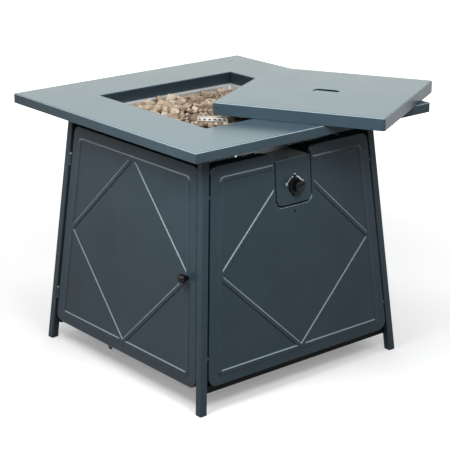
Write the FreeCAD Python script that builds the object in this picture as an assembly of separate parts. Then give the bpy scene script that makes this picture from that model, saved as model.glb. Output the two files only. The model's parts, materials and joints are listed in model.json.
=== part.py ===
import FreeCAD, Part
import math
import os
from FreeCAD import Matrix, Placement, Rotation, Vector

# Gas fire pit table: a folded sheet-steel top on four splayed square-tube legs,
# closed by embossed panels, with a door, a burner recess, a control box and a
# lift-out lid laid askew on the top. Millimetres. The origin is the middle of the
# footprint on the floor, +Z up, the control panel faces -Y and the door faces -X.

# Overall
TOP_W = 711.0
HEIGHT = 635.0
SHEET = 1.5
THIN = 1.2
RIM_H = 23.0
RIM_LIP = 12.0
EDGE_R = 2.5

# Burner opening and its folded-down flange
OPEN_W = 414.0
FLANGE_H = 30.0

# Splayed frame
TUBE = 19.0
WALL = 1.5
FOOT_HALF = 312.5
FRAME_LAP = 51.5
TOP_HALF = OPEN_W / 2 + FRAME_LAP
SPLAY_Z = HEIGHT - RIM_H
SLOPE = (FOOT_HALF - TOP_HALF) / SPLAY_Z
TILT = math.atan(SLOPE)
TUBE_R = 2.0
PLUG_LIFT = 1.5
PLUG_TOP = 16.0
PLUG_CLEAR = 0.1
PLUG_INSET = 0.8
PLATE_T = 3.0
LEG_TOP = SPLAY_Z - PLATE_T
RAIL_RECESS = 14.0
RAIL_GAP = 2.5
RAIL_Z = 43.0
DOOR_RAIL_Z = RAIL_Z + TUBE

# Fixing of the top to the frame
LIP_EDGE = TOP_W / 2 - SHEET - RIM_LIP
STUD_SHARE = 0.413
STUD_OUT = TOP_HALF + STUD_SHARE * (LIP_EDGE - TOP_HALF)
STUD_STEP = 98.0
STUD_ALONG = STUD_OUT - STUD_STEP
STUD_L = 26.0
CHANNEL_HALF = 22.0
CHANNEL_END = 22.0
CHANNEL_GAP = 1.0
GUSSET_EDGE = 19.0
GUSSET_LAP = 3.0
GUSSET_R = 6.0
NUT_H = 6.0
NUT_ACROSS = 10.0
NUT_FLANGE_R = 7.0

# Panels
PANEL_D = 10.0
PANEL_GAP = 4.5
PANEL_DROP = 49.0
PANEL_TOP = SPLAY_Z - PANEL_DROP
PANEL_BOTTOM = 62.0
DOOR_BOTTOM = 56.0
PANEL_R = 21.0
BEAD_INSET = 30.0
BEAD_W = 14.0
BEAD_TOP_W = 8.0
BEAD_H = 2.0
BEAD_R = 9.0
BEAD_CLEAR = 4.0
SHOULDER_FLANGE = 30.0
SCREW_ZS = (130.0, 495.0)
SPACER_R = 4.8

# Door
DOOR_RECESS = 2.5
HINGE_GAP = 8.0
LATCH_GAP = 3.5
HINGE_ZS = (478.0, 128.0)
KNUCKLE_R = 3.2
KNUCKLE_L = 22.0
LEAF_W = 26.0
PIN_R = 2.0
PIN_CLEAR = 0.08
EAR_T = 2.5
EAR_GAP = 0.4
DOOR_KNOB_Z = 308.0
BALL_R = 11.0
NECK_R = 6.0
CATCH_Z = 345.0
CATCH_H = 44.0
CATCH_GAP = 0.4
MAGNET_W = 17.0
MAGNET_D = 13.0
STRIKE_H = 34.0
STRIKE_W = 16.0

# Control box
BOX_HALF = 53.0
BOX_DROP = 20.5
BOX_H = 107.0
BOX_TOP = PANEL_TOP - BOX_DROP
BOX_BOTTOM = BOX_TOP - BOX_H
BOX_R = 16.0
NOTCH_GAP = 3.5
NOTCH_HALF = BOX_HALF + NOTCH_GAP
NOTCH_Z = BOX_BOTTOM - NOTCH_GAP
NOTCH_R = BOX_R + NOTCH_GAP
NOTCH_SCREW_DROP = 15.0
FACE_SCREWS = ((-3.0, -22.0), (3.0, 22.0))

# Valve and knob, along the sloping face's outward normal
KNOB_UP = 45.0
KNOB_V = BOX_BOTTOM + KNOB_UP
KNOB_R = 18.0
KNOB_L = 20.0
KNOB_GAP = 3.6
KNOB_TRAVEL = 3.0
SKIRT_H = 6.0
GRIP_R = 15.5
GRIP_TOP_R = 13.5
POINTER_W = 7.0
POINTER_PROUD = 2.5
POINTER_OFF = -80.0
SPINDLE_R = 4.0
SPINDLE_FLAT = 2.5
SPINDLE_IN = 16.0
SPINDLE_GRIP = 12.5
FLAT_EXTRA = 0.3
TIP_ROOM = 1.5
SPINDLE_HOLE_R = 7.0
TURN_CLEAR = 0.06
VALVE_HALF = 17.0
VALVE_BACK = 46.0
VALVE_FLANGE_HALF = 21.0
VALVE_FLANGE_UP = 27.0
VALVE_FLANGE_T = 4.0
OUTLET_R = 8.0
OUTLET_L = 5.0
INLET_R = 7.94
INLET_L = 14.0
INLET_HEX_R = 9.5
INLET_HEX_L = 9.0
INLET_BORE_R = 3.0
INLET_PLACE = 22.0

# Burner pan
PAN_STEP = 17.0
PAN_LAP = 15.0
PAN_DEPTH = 57.0
PAN_HALF = OPEN_W / 2 - PAN_STEP
PAN_RIM_HALF = OPEN_W / 2 + PAN_LAP
PAN_TOP = HEIGHT - FLANGE_H
PAN_FLOOR = PAN_TOP - PAN_DEPTH
PAN_R = 8.0
DRAIN_R = 4.0
DRAIN_OUT = 150.0
CLIP_GAP = 3.0
CLIP_EDGE = 6.0
CLIP_OUT = PAN_RIM_HALF + CLIP_GAP
CLIP_SCREW = PAN_RIM_HALF - CLIP_EDGE
CLIP_HALF = 16.0
CLIP_TAB = 14.0
BRACKET_GAP = 0.5
BOX_BACK = -PAN_HALF - SHEET - BRACKET_GAP
BRACKET_WING = 22.0
SIDE_SCREW_IN = BRACKET_WING / 2
SIDE_SCREW_Y = BOX_BACK - SIDE_SCREW_IN
SIDE_SCREW_UP = 24.0
SIDE_SCREW_DOWN = 18.0
SIDE_SCREW_ZS = (BOX_BOTTOM + SIDE_SCREW_UP, BOX_TOP - SIDE_SCREW_DOWN)

# Burner and gas line
RING_R = 85.0
RING_TUBE = 8.0
RING_UP = 18.0
RING_Z = PAN_FLOOR + RING_UP
BURNER_WALL = 1.1
BAR_R = 7.0
HUB_R = 13.0
HUB_RISE = 9.0
HUB_TOP = RING_Z + HUB_RISE
PORTS = 24
PORT_R = 1.0
MIXER_R = 10.0
MIXER_WALL = 1.4
MIXER_L = 28.0
MIXER_LOW = PAN_FLOOR - MIXER_L
MIXER_IN = 6.0
WINDOW_HALF = 3.5
ELBOW_HALF = 8.0
PIPE_R = 4.0
PIPE_WALL = 1.0
PIPE_DROP = 9.0
PIPE_Z = MIXER_LOW - PIPE_DROP
PIPE_BEND_R = 16.0
PIPE_RUN = 44.0
PIPE_RISE_L = 20.0

# Pilot parts
GUARD_AT = 110.0
GUARD_L = 75.0
GUARD_D = 24.0
GUARD_LOW = 10.0
GUARD_TOP = HEIGHT - GUARD_LOW
GUARD_T = 1.0
GUARD_CHAMFER = 7.0
GUARD_PITCH = 14.5
GUARD_ROW = 12.0
GUARD_HOLE_R = 2.4
SPARK_AT = -14.0
SPARK_LOW = 19.0
SPARK_TOP = GUARD_TOP - SPARK_LOW
SENSOR_AT = 12.0
SENSOR_LOW = 27.0
SENSOR_TOP = GUARD_TOP - SENSOR_LOW
COLLAR_R = 5.0
COLLAR_H = 5.0

# Stones
STONE_R = 14.6
STONE_PITCH = 33.0
STONE_HEAP_R = 118.0
STONE_PLAY = 0.7
STONE_VARY = 0.8
STONE_ROOM = 0.6
STONE_LEVELS = (17.3, 40.8, 61.8)

# Gas bottle support
STRAP_X = 75.0
STRAP_Z = 20.0
STRAP_W = 30.0
STRAP_T = 3.0
STRAP_SEAT = 24.0
STRAP_JOG = 90.0
CRADLE_R = 105.0
CRADLE_WALL = 2.5
CRADLE_H = 28.0
BOLT_UP = 20.0
BOLT_Z = STRAP_Z + BOLT_UP
BOLT_R = 4.0
BOLT_L = 55.0
BOSS_R = 10.5
BOSS_L = 20.0
POCKET_D = 6.0
POCKET_CLEAR = 0.5
PAD_R = 8.0
PAD_T = 4.0
PAD_BACK = 1.0
NOSE_R = 3.0
NOSE_L = 2.6
WING_HALF = 17.0
HOOK_Y = 66.0
HOOK_R = 2.0
HOOK_STEM = 18.0
HOOK_DROP = 29.0
HOOK_TIP_DROP = 20.0
HOOK_REACH = 13.0

# Lid
LID_CLEAR = 2.0
LID_W = OPEN_W - 2 * LID_CLEAR
LID_H = 29.0
LID_R = 6.0
LID_X = 160.0
LID_Y = -202.0
LID_TURN = 28.2
LID_GAP = 0.3
SLOT_L = 64.0
SLOT_W = 34.0
HANDLE_W = 13.0
HANDLE_T = 4.0
HANDLE_LAP = 14.0
VENT_R = 1.8
VENT_INSET = 9.0

# Screws
M4 = 2.0
M5 = 2.5
M6 = 3.0
M4_HEAD_R = 3.6
M5_HEAD_R = 4.4
M4_HEAD_T = 2.0
M5_HEAD_T = 2.6
HEAD_GAP = 0.02
HOLE_PLAY = 0.3
SNUG = 0.05
THROUGH = 20.0
FIX_DEPTH = THIN + M5_HEAD_R + HOLE_PLAY

SIDES = {"front": 0.0, "right": 90.0, "back": 180.0, "left": -90.0}
CORNERS = {"front_left": (-1, -1), "front_right": (1, -1), "back_right": (1, 1), "back_left": (-1, 1)}
X = Vector(1, 0, 0)
Y = Vector(0, 1, 0)
Z = Vector(0, 0, 1)


def save(shape, node):
    """Write one named piece."""
    shape.exportStep("parts/" + node + ".step")


def box(x0, x1, y0, y1, z0, z1):
    """Axis-aligned block between two corners."""
    return Part.makeBox(x1 - x0, y1 - y0, z1 - z0, Vector(x0, y0, z0))


def rod(radius, start, end):
    """Round bar between two points."""
    run = end - start
    return Part.makeCylinder(radius, run.Length, start, run)


def fuse(shapes):
    """Join pieces of one part into a single clean solid."""
    joined = shapes[0]
    for shape in shapes[1:]:
        joined = joined.fuse(shape)
    return joined.removeSplitter()


def turned(shape, angle):
    """The shape turned about the vertical axis."""
    copy = shape.copy()
    copy.rotate(Vector(0, 0, 0), Z, angle)
    return copy


def half_at(z):
    """Half the outer width of the splayed frame at a height."""
    return FOOT_HALF - SLOPE * z


def on_face(shape, side):
    """Move a piece drawn on the sloping face (u across, v up, n out) onto one side."""
    c = math.cos(TILT)
    s = math.sin(TILT)
    frame = Matrix(1, 0, 0, 0, 0, s, -c, -FOOT_HALF, 0, c, s, 0, 0, 0, 0, 1)
    placed = shape.copy()
    placed.Placement = Placement(frame).multiply(placed.Placement)
    return turned(placed, SIDES[side])


def up(z):
    """Height above the floor as a distance v up the sloping face."""
    return z / math.cos(TILT)


def rounded(points, radii, closed=True):
    """Wire through the points with each corner rounded by its radius."""
    count = len(points)
    pieces = []
    last = None
    first = None
    for i in range(count):
        here = Vector(points[i][0], points[i][1], 0)
        if not closed and i in (0, count - 1):
            entry = here
            leave = here
            arc = None
        else:
            before = Vector(points[i - 1][0], points[i - 1][1], 0) - here
            after = Vector(points[(i + 1) % count][0], points[(i + 1) % count][1], 0) - here
            before.normalize()
            after.normalize()
            half = before.getAngle(after) / 2
            reach = radii[i] / math.tan(half)
            entry = here + before * reach
            leave = here + after * reach
            inward = before + after
            inward.normalize()
            middle = here + inward * (radii[i] / math.sin(half) - radii[i])
            arc = Part.Arc(entry, middle, leave).toShape()
        if last is not None:
            pieces.append(Part.makeLine(last, entry))
        else:
            first = entry
        if arc is not None:
            pieces.append(arc)
        last = leave
    if closed:
        pieces.append(Part.makeLine(last, first))
    return Part.Wire(pieces)


def slab(wire, n0, n1):
    """Plate with the wire as its outline, between two levels."""
    face = Part.Face(wire)
    face.translate(Vector(0, 0, n0))
    return face.extrude(Vector(0, 0, n1 - n0))


def edges_at(shape, level, axis=2):
    """Edges lying wholly at one level along an axis."""
    found = []
    for edge in shape.Edges:
        box_ = edge.BoundBox
        low = (box_.XMin, box_.YMin, box_.ZMin)[axis]
        high = (box_.XMax, box_.YMax, box_.ZMax)[axis]
        if abs(low - level) < 0.01 and abs(high - level) < 0.01:
            found.append(edge)
    return found


def upright_edges(shape):
    """Edges that run straight up."""
    found = []
    for edge in shape.Edges:
        box_ = edge.BoundBox
        if box_.XLength < 0.01 and box_.YLength < 0.01:
            found.append(edge)
    return found


def screw(radius, length, head_r, head_t):
    """Pan-head screw along +Z with the underside of its head at the origin."""
    shank = Part.makeCylinder(radius, length, Vector(0, 0, -length))
    head = Part.makeCylinder(head_r, head_t)
    head = head.makeFillet(head_t * 0.4, edges_at(head, head_t))
    drive = Part.makeCylinder(head_r * 0.35, head_t * 0.5, Vector(0, 0, head_t * 0.55))
    return shank.fuse(head).cut(drive).removeSplitter()


def aimed(shape, point, direction):
    """Turn a piece drawn along +Z to a direction and move it to a point."""
    placed = shape.copy()
    placed.Placement = Placement(point, Rotation(Z, direction))
    return placed


# Table top and what stiffens it

def table_top():
    half = TOP_W / 2
    under = HEIGHT - RIM_H
    outer = box(-half, half, -half, half, under, HEIGHT)
    outer = outer.makeFillet(EDGE_R, edges_at(outer, HEIGHT) + upright_edges(outer))
    hollow_half = half - SHEET
    hollow = box(-hollow_half, hollow_half, -hollow_half, hollow_half, under + SHEET, HEIGHT - SHEET)
    mouth_half = hollow_half - RIM_LIP
    mouth = box(-mouth_half, mouth_half, -mouth_half, mouth_half, under - 1, under + SHEET + 1)
    inner = OPEN_W / 2
    flange_half = inner + SHEET
    flange = box(-flange_half, flange_half, -flange_half, flange_half, PAN_TOP, HEIGHT - SHEET)
    opening = box(-inner, inner, -inner, inner, PAN_TOP - 1, HEIGHT + 1)
    top = outer.cut(hollow).cut(mouth).fuse(flange).cut(opening).removeSplitter()
    rims = [e for e in edges_at(top, HEIGHT) if e.BoundBox.DiagonalLength < OPEN_W + 1]
    return top.makeFillet(SHEET * 0.8, rims)


def top_channel(long_way):
    """Channel under the top along one side, open upwards."""
    length = LIP_EDGE - CHANNEL_END if long_way else STUD_OUT - CHANNEL_HALF - CHANNEL_GAP
    top = HEIGHT - SHEET
    y0 = -STUD_OUT - CHANNEL_HALF
    y1 = -STUD_OUT + CHANNEL_HALF
    outer = box(-length, length, y0, y1, SPLAY_Z, top)
    inner = box(-length - 1, length + 1, y0 + SHEET, y1 - SHEET, SPLAY_Z + SHEET, top + 1)
    return outer.cut(inner)


def corner_plate(sx, sy):
    """Flat gusset on a leg that carries two studs of the top."""
    far = STUD_OUT + GUSSET_EDGE
    near = TOP_HALF - TUBE - GUSSET_LAP
    arm = STUD_ALONG - GUSSET_EDGE
    points = [(far, arm), (far, far), (arm, far), (arm, near), (near, near), (near, arm)]
    plate = slab(rounded(points, [GUSSET_R] * 6), 0, PLATE_T)
    for x, y in ((STUD_OUT, STUD_ALONG), (STUD_ALONG, STUD_OUT)):
        plate = plate.cut(Part.makeCylinder(M6 + HOLE_PLAY, THROUGH, Vector(x, y, -PLATE_T)))
    plate.translate(Vector(0, 0, LEG_TOP))
    turn = {(1, 1): 0, (-1, 1): 90, (-1, -1): 180, (1, -1): 270}[(sx, sy)]
    return turned(plate, turn)


def stud_places():
    places = []
    for sx in (-1, 1):
        for sy in (-1, 1):
            places.append((sx * STUD_OUT, sy * STUD_ALONG))
            places.append((sx * STUD_ALONG, sy * STUD_OUT))
    return places


def frame_studs():
    return [rod(M6, Vector(x, y, SPLAY_Z), Vector(x, y, SPLAY_Z - STUD_L)) for x, y in stud_places()]


def flange_nut():
    """Hexagon nut with a round flange, flange face up at the origin."""
    reach = NUT_ACROSS / math.sqrt(3)
    corners = []
    for k in range(7):
        angle = math.radians(60 * k)
        corners.append(Vector(reach * math.cos(angle), reach * math.sin(angle), -NUT_H))
    hexagon = Part.Face(Part.makePolygon(corners)).extrude(Vector(0, 0, NUT_H))
    flange = Part.makeCylinder(NUT_FLANGE_R, THIN, Vector(0, 0, -THIN))
    bore = Part.makeCylinder(M6 + SNUG, NUT_H + 2, Vector(0, 0, -NUT_H - 1))
    return hexagon.fuse(flange).cut(bore).removeSplitter()


def frame_nuts():
    nuts = []
    for x, y in stud_places():
        nut = flange_nut()
        nut.translate(Vector(x, y, LEG_TOP))
        nuts.append(nut)
    return nuts


# Legs, rails and feet

def splayed(inset0, inset1, z0, z1, sx, sy):
    """Sloping square bar whose sides lie at two insets from the frame's outer faces."""
    a = half_at(z0) - inset0
    b = half_at(z0) - inset1
    ring = [(a, a), (b, a), (b, b), (a, b), (a, a)]
    foot = Part.Face(Part.makePolygon([Vector(sx * x, sy * y, z0) for x, y in ring]))
    lean = -SLOPE * (z1 - z0)
    return foot.extrude(Vector(sx * lean, sy * lean, z1 - z0))


def leg_block(sx, sy):
    return splayed(0, TUBE, PLUG_LIFT, LEG_TOP, sx, sy)


def leg(sx, sy):
    bar = leg_block(sx, sy)
    long_edges = [e for e in bar.Edges if e.BoundBox.ZLength > TUBE]
    bore = splayed(WALL, TUBE - WALL, PLUG_LIFT - 1, LEG_TOP + 1, sx, sy)
    return bar.makeFillet(TUBE_R, long_edges).cut(bore)


def foot_plug(sx, sy):
    """Plastic plug in the leg's lower end; its pad meets the floor."""
    side = WALL + PLUG_CLEAR
    body = splayed(side, TUBE - side, PLUG_LIFT, PLUG_TOP, sx, sy)
    pad = splayed(PLUG_INSET, TUBE - PLUG_INSET, 0, PLUG_LIFT, sx, sy)
    return body.fuse(pad).removeSplitter()


def tube_x(x0, x1, y0, z0):
    """Square tube along X."""
    outer = box(x0, x1, y0, y0 + TUBE, z0, z0 + TUBE)
    outer = outer.makeFillet(TUBE_R, [e for e in outer.Edges if e.BoundBox.XLength > TUBE])
    bore = box(x0 - 1, x1 + 1, y0 + WALL, y0 + TUBE - WALL, z0 + WALL, z0 + TUBE - WALL)
    return outer.cut(bore)


def top_rail(side):
    """Rail between two legs, cut square where it meets them at the top."""
    outer = half_at(LEG_TOP)
    reach = outer - TUBE
    return turned(tube_x(-reach, reach, -outer, LEG_TOP - TUBE), SIDES[side])


def longest(shape):
    """The biggest solid of a shape that a cut has parted."""
    return sorted(shape.Solids, key=lambda solid: solid.Volume)[-1]


def rail_out():
    """Distance from the middle to the outer face of a base rail."""
    return half_at(RAIL_Z) - RAIL_RECESS


def door_rail_out():
    """The same for the rail behind the door's folds."""
    return half_at(DOOR_RAIL_Z + TUBE) - PANEL_D - DOOR_RECESS - RAIL_GAP


def base_rail(side, z0, out, reach):
    rail = turned(tube_x(-reach, reach, -out, z0), SIDES[side])
    for sx, sy in CORNERS.values():
        rail = rail.cut(leg_block(sx, sy))
    return longest(rail)


def base_rails():
    """Front and back rails past the legs, one between them, and the door's on top."""
    out = rail_out()
    past = half_at(RAIL_Z) - PANEL_D - DOOR_RECESS - RAIL_GAP
    rails = {
        "front": base_rail("front", RAIL_Z, out, past),
        "back": base_rail("back", RAIL_Z, out, past),
        "right": base_rail("right", RAIL_Z, out, out - TUBE),
        "left": base_rail("left", DOOR_RAIL_Z, door_rail_out(), half_at(DOOR_RAIL_Z) - TUBE),
    }
    for x, y in strap_places():
        hole = Part.makeCylinder(M5 + SNUG, WALL + 2, Vector(x, y, DOOR_RAIL_Z - WALL - 1))
        side = "front" if y < 0 else "back"
        rails[side] = rails[side].cut(hole)
    return rails


# Embossed panels, drawn flat with u across, v up and n outwards

def side_line(z, gap):
    """Distance from the middle to a panel's side edge at a height."""
    return half_at(z) - TUBE - gap


def panel_points(bottom, left_gap, right_gap):
    return [
        (-side_line(bottom, left_gap), up(bottom)),
        (side_line(bottom, right_gap), up(bottom)),
        (side_line(PANEL_TOP, right_gap), up(PANEL_TOP)),
        (-side_line(PANEL_TOP, left_gap), up(PANEL_TOP)),
    ]


def notched_points(bottom):
    """Panel outline with the cut-out for the control box in its top edge."""
    p = panel_points(bottom, PANEL_GAP, PANEL_GAP)
    top = up(PANEL_TOP)
    low = up(NOTCH_Z)
    inside = [(NOTCH_HALF, top), (NOTCH_HALF, low), (-NOTCH_HALF, low), (-NOTCH_HALF, top)]
    return [p[0], p[1], p[2]] + inside + [p[3]]


def bead_section(start, direction):
    """Trapezoid across a bead at its start."""
    across = Vector(-direction.y, direction.x, 0)
    wide = across * (BEAD_W / 2)
    slim = across * (BEAD_TOP_W / 2)
    rise = Vector(0, 0, BEAD_H)
    root = Vector(0, 0, -0.3)
    points = [start + wide + root, start + wide, start + slim + rise, start - slim + rise]
    points += [start - wide, start - wide + root, start + wide + root]
    return Part.makePolygon(points)


def bead_bar(a, b):
    """Straight raised bead between two points."""
    run = b - a
    direction = Vector(run.x, run.y, 0)
    direction.normalize()
    return Part.Face(bead_section(a, direction)).extrude(run)


def beads(corners):
    """Raised bead round the panel and the diamond that joins its mid-sides."""
    mids = []
    for i in range(4):
        a = Vector(corners[i][0], corners[i][1], 0)
        b = Vector(corners[(i + 1) % 4][0], corners[(i + 1) % 4][1], 0)
        mids.append((a + b) * 0.5)
    bars = [bead_bar(mids[i], mids[(i + 1) % 4]) for i in range(4)]
    return [ring_bead(corners)] + bars


def ring_bead(corners):
    """Closed bead as stacked bands between two rounded outlines."""
    wire = rounded(corners, [BEAD_R] * 4)
    wide_out = wire.makeOffset2D(BEAD_W / 2)
    wide_in = wire.makeOffset2D(-BEAD_W / 2)
    slim_out = wire.makeOffset2D(BEAD_TOP_W / 2)
    slim_in = wire.makeOffset2D(-BEAD_TOP_W / 2)
    for w in (slim_out, slim_in):
        w.translate(Vector(0, 0, BEAD_H))
    outside = Part.makeLoft([wide_out, slim_out], True, True)
    inside = Part.makeLoft([wide_in, slim_in], True, True)
    return outside.cut(inside)


def bead_corners(bottom, left_gap, right_gap):
    """Corners of the bead's centre line, set in from the panel's edges."""
    low = bottom + BEAD_INSET - 3
    high = PANEL_TOP - BEAD_INSET - 2
    return [
        (-side_line(low, left_gap) + BEAD_INSET, up(low)),
        (side_line(low, right_gap) - BEAD_INSET, up(low)),
        (side_line(high, right_gap) - BEAD_INSET, up(high)),
        (-side_line(high, left_gap) + BEAD_INSET, up(high)),
    ]


def tray(wire, depth):
    """Folded sheet: a face with its edges turned back."""
    outer = slab(wire, -depth, 0)
    outer = outer.makeFillet(THIN, edges_at(outer, 0))
    inner = slab(wire.makeOffset2D(-THIN), -depth - 1, -THIN)
    return outer.cut(inner)


def plain_panel(bottom, left_gap, right_gap):
    wire = rounded(panel_points(bottom, left_gap, right_gap), [PANEL_R] * 4)
    shell = tray(wire, PANEL_D)
    return fuse([shell] + beads(bead_corners(bottom, left_gap, right_gap)))


def front_panel():
    radii = [PANEL_R, PANEL_R, PANEL_R, PANEL_R - 2, NOTCH_R, NOTCH_R, PANEL_R - 2, PANEL_R]
    shell = tray(rounded(notched_points(PANEL_BOTTOM), radii), PANEL_D)
    keep_out = NOTCH_HALF + BEAD_CLEAR
    notch = box(-keep_out, keep_out, up(NOTCH_Z) - BEAD_CLEAR, up(PANEL_TOP), -THIN, BEAD_H + 1)
    raised = []
    for piece in beads(bead_corners(PANEL_BOTTOM, PANEL_GAP, PANEL_GAP)):
        raised += piece.cut(notch).Solids
    wide = side_line(PANEL_TOP, PANEL_GAP) - PANEL_R
    flanges = []
    for sign in (-1, 1):
        low = min(sign * wide, sign * (NOTCH_HALF + PANEL_R))
        high = max(sign * wide, sign * (NOTCH_HALF + PANEL_R))
        flanges.append(box(low, high, up(PANEL_TOP) - THIN, up(PANEL_TOP), -SHOULDER_FLANGE, -PANEL_D + 1))
    place = Vector(0, up(NOTCH_Z - NOTCH_SCREW_DROP), -THIN - 1)
    hole = Part.makeCylinder(M5 + HOLE_PLAY, THROUGH, place)
    return fuse([shell] + raised + flanges).cut(hole)


def screw_lines():
    """Fixing points of a plain panel: centre of the gap beside each leg."""
    places = []
    for z in SCREW_ZS:
        for sign in (-1, 1):
            places.append((sign, z))
    return places


def screw_line(sign, z):
    """A point on a panel's side edge and the square way from it to the leg."""
    way = Vector(sign, SLOPE * math.cos(TILT), 0)
    way.normalize()
    return Vector(sign * side_line(z, PANEL_GAP), up(z), -FIX_DEPTH), way


def fixing_rod(sign, z, radius, low, high):
    """Round bar along a fixing's line, from the panel's side edge towards the leg."""
    point, way = screw_line(sign, z)
    return rod(radius, point + way * low, point + way * high)


def panel_screw(sign, z):
    point, way = screw_line(sign, z)
    body = screw(M5, PANEL_GAP + THIN + WALL + 1.5, M5_HEAD_R, M5_HEAD_T)
    return aimed(body, point - way * (THIN + HEAD_GAP), way * -1)


def panel_spacer(sign, z):
    ring = fixing_rod(sign, z, SPACER_R, -1, PANEL_GAP + 1)
    return ring.cut(fixing_rod(sign, z, M5 + SNUG, -THROUGH, THROUGH))


def fixings():
    """Screws and spacers of the three fixed panels."""
    screws = []
    spacers = []
    blocks = [leg_block(sx, sy) for sx, sy in CORNERS.values()]
    for side in ("front", "right", "back"):
        for sign, z in screw_lines():
            screws.append(on_face(panel_screw(sign, z), side))
            ring = on_face(panel_spacer(sign, z), side)
            for block in blocks:
                ring = ring.cut(block)
            outline = rounded(panel_points(PANEL_BOTTOM, PANEL_GAP, PANEL_GAP), [PANEL_R] * 4)
            ring = ring.cut(on_face(slab(outline, -PANEL_D, 0), side))
            spacers.append(longest(ring))
    return screws, spacers


def leg_holes():
    """Screw holes of all fixed panels through the legs' inner walls."""
    holes = []
    for side in ("front", "right", "back"):
        for sign, z in screw_lines():
            holes.append(on_face(fixing_rod(sign, z, M5 + SNUG, 0, PANEL_GAP + WALL + 3), side))
    return holes


# Door, its hinges, knob and catch, drawn on the left face

def hinge_axis():
    """A point and the direction of the hinge line on the left face."""
    z = HINGE_ZS[1]
    point = Vector(-side_line(z, 0) + HINGE_GAP / 2, up(z), -DOOR_RECESS)
    direction = Vector(SLOPE * math.cos(TILT), 1, 0)
    direction.normalize()
    return point, direction


def on_hinge(z):
    point, direction = hinge_axis()
    return point + direction * ((up(z) - point.y) / direction.y)


def hinge_bar(z, low, high, radius):
    direction = hinge_axis()[1]
    centre = on_hinge(z)
    return rod(radius, centre + direction * low, centre + direction * high)


def along_hinge(shape, z):
    """Place a piece drawn with t across, the hinge line along Y and n out."""
    direction = hinge_axis()[1]
    placed = shape.copy()
    placed.rotate(Vector(0, 0, 0), Z, -math.degrees(math.atan2(direction.x, direction.y)))
    placed.translate(on_hinge(z))
    return placed


def door_leaf(z):
    """Leaf that runs from the knuckle through the door's folded edge."""
    half = KNUCKLE_L / 2
    return along_hinge(box(0, LEAF_W, -half, half, -THIN - SHEET, -THIN), z)


def door_panel():
    body = plain_panel(DOOR_BOTTOM, HINGE_GAP, LATCH_GAP)
    body.translate(Vector(0, 0, -DOOR_RECESS))
    for z in HINGE_ZS:
        half = KNUCKLE_L / 2 + 0.2
        slot = along_hinge(box(0, HINGE_GAP, -half, half, -THIN - SHEET - 0.2, -THIN), z)
        body = body.cut(slot)
    u = door_knob_u()
    body = body.cut(Part.makeCylinder(M4 + SNUG, THROUGH, Vector(u, up(DOOR_KNOB_Z), -PANEL_D)))
    return body


def door_knuckle(z):
    tube = hinge_bar(z, -KNUCKLE_L / 2, KNUCKLE_L / 2, KNUCKLE_R)
    bore = hinge_bar(z, -KNUCKLE_L, KNUCKLE_L, PIN_R + PIN_CLEAR)
    return tube.fuse(door_leaf(z)).cut(bore).removeSplitter()


def hinge_bracket(z):
    """Two ears and a back strip welded to the leg; the pin passes through them."""
    ears = []
    for sign in (-1, 1):
        y0 = sign * (KNUCKLE_L / 2 + EAR_GAP)
        y1 = y0 + sign * EAR_T
        low = min(y0, y1)
        tab = box(-HINGE_GAP / 2, 0, low, low + EAR_T, -KNUCKLE_R, KNUCKLE_R - 0.8)
        nose = Part.makeCylinder(KNUCKLE_R, EAR_T, Vector(0, low, 0), Y)
        ears.append(along_hinge(tab.fuse(nose), z))
    span = KNUCKLE_L / 2 + EAR_GAP + EAR_T
    strip = along_hinge(box(-HINGE_GAP / 2, -HINGE_GAP / 2 + 0.5, -span, span, -9, 2.4), z)
    bore = hinge_bar(z, -KNUCKLE_L, KNUCKLE_L, PIN_R)
    return fuse([strip] + ears).cut(bore)


def hinge_pin(z):
    reach = KNUCKLE_L / 2 + EAR_GAP + EAR_T
    shank = hinge_bar(z, -reach - 1.0, reach, PIN_R)
    head = hinge_bar(z, reach, reach + 1.5, KNUCKLE_R)
    return shank.fuse(head).removeSplitter()


def door_knob_u():
    return side_line(DOOR_KNOB_Z, LATCH_GAP) - BEAD_INSET


def door_knob():
    """Ball knob on a short neck."""
    u = door_knob_u()
    base = BEAD_H - DOOR_RECESS
    ball = Part.makeSphere(BALL_R, Vector(u, up(DOOR_KNOB_Z), base + BALL_R + 5))
    neck = Part.makeCylinder(NECK_R, BALL_R, Vector(u, up(DOOR_KNOB_Z), base))
    bore = Part.makeCylinder(M4 + SNUG, BALL_R + 1, Vector(u, up(DOOR_KNOB_Z), base - 1))
    return ball.fuse(neck).cut(bore).removeSplitter()


def door_knob_screw():
    u = door_knob_u()
    body = screw(M4, BALL_R + 1, M4_HEAD_R, M4_HEAD_T)
    return aimed(body, Vector(u, up(DOOR_KNOB_Z), -DOOR_RECESS - THIN), Vector(0, 0, -1))


def strike_plate():
    """Angle welded inside the door's latch edge for the magnet to hold."""
    v = up(CATCH_Z)
    u1 = side_line(CATCH_Z + CATCH_H / 2, LATCH_GAP) - THIN - 0.2
    n1 = -DOOR_RECESS - PANEL_D
    half = STRIKE_H / 2
    face = box(u1 - STRIKE_W, u1, v - half, v + half, n1, n1 + THIN)
    wing = box(u1 - THIN, u1, v - half, v + half, n1, n1 + PANEL_D - THIN - 0.5)
    return face.fuse(wing).removeSplitter()


def magnet_catch():
    """Magnet in a block fixed to the leg beside the door."""
    v = up(CATCH_Z)
    u1 = side_line(CATCH_Z + CATCH_H / 2, 0)
    n1 = -DOOR_RECESS - PANEL_D - CATCH_GAP
    block = box(u1 - MAGNET_W, u1 + 4, v - CATCH_H / 2, v + CATCH_H / 2, n1 - MAGNET_D, n1)
    return on_face(block, "left").cut(leg_block(-1, -1))


# Control box, valve, spindle and knob

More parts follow.
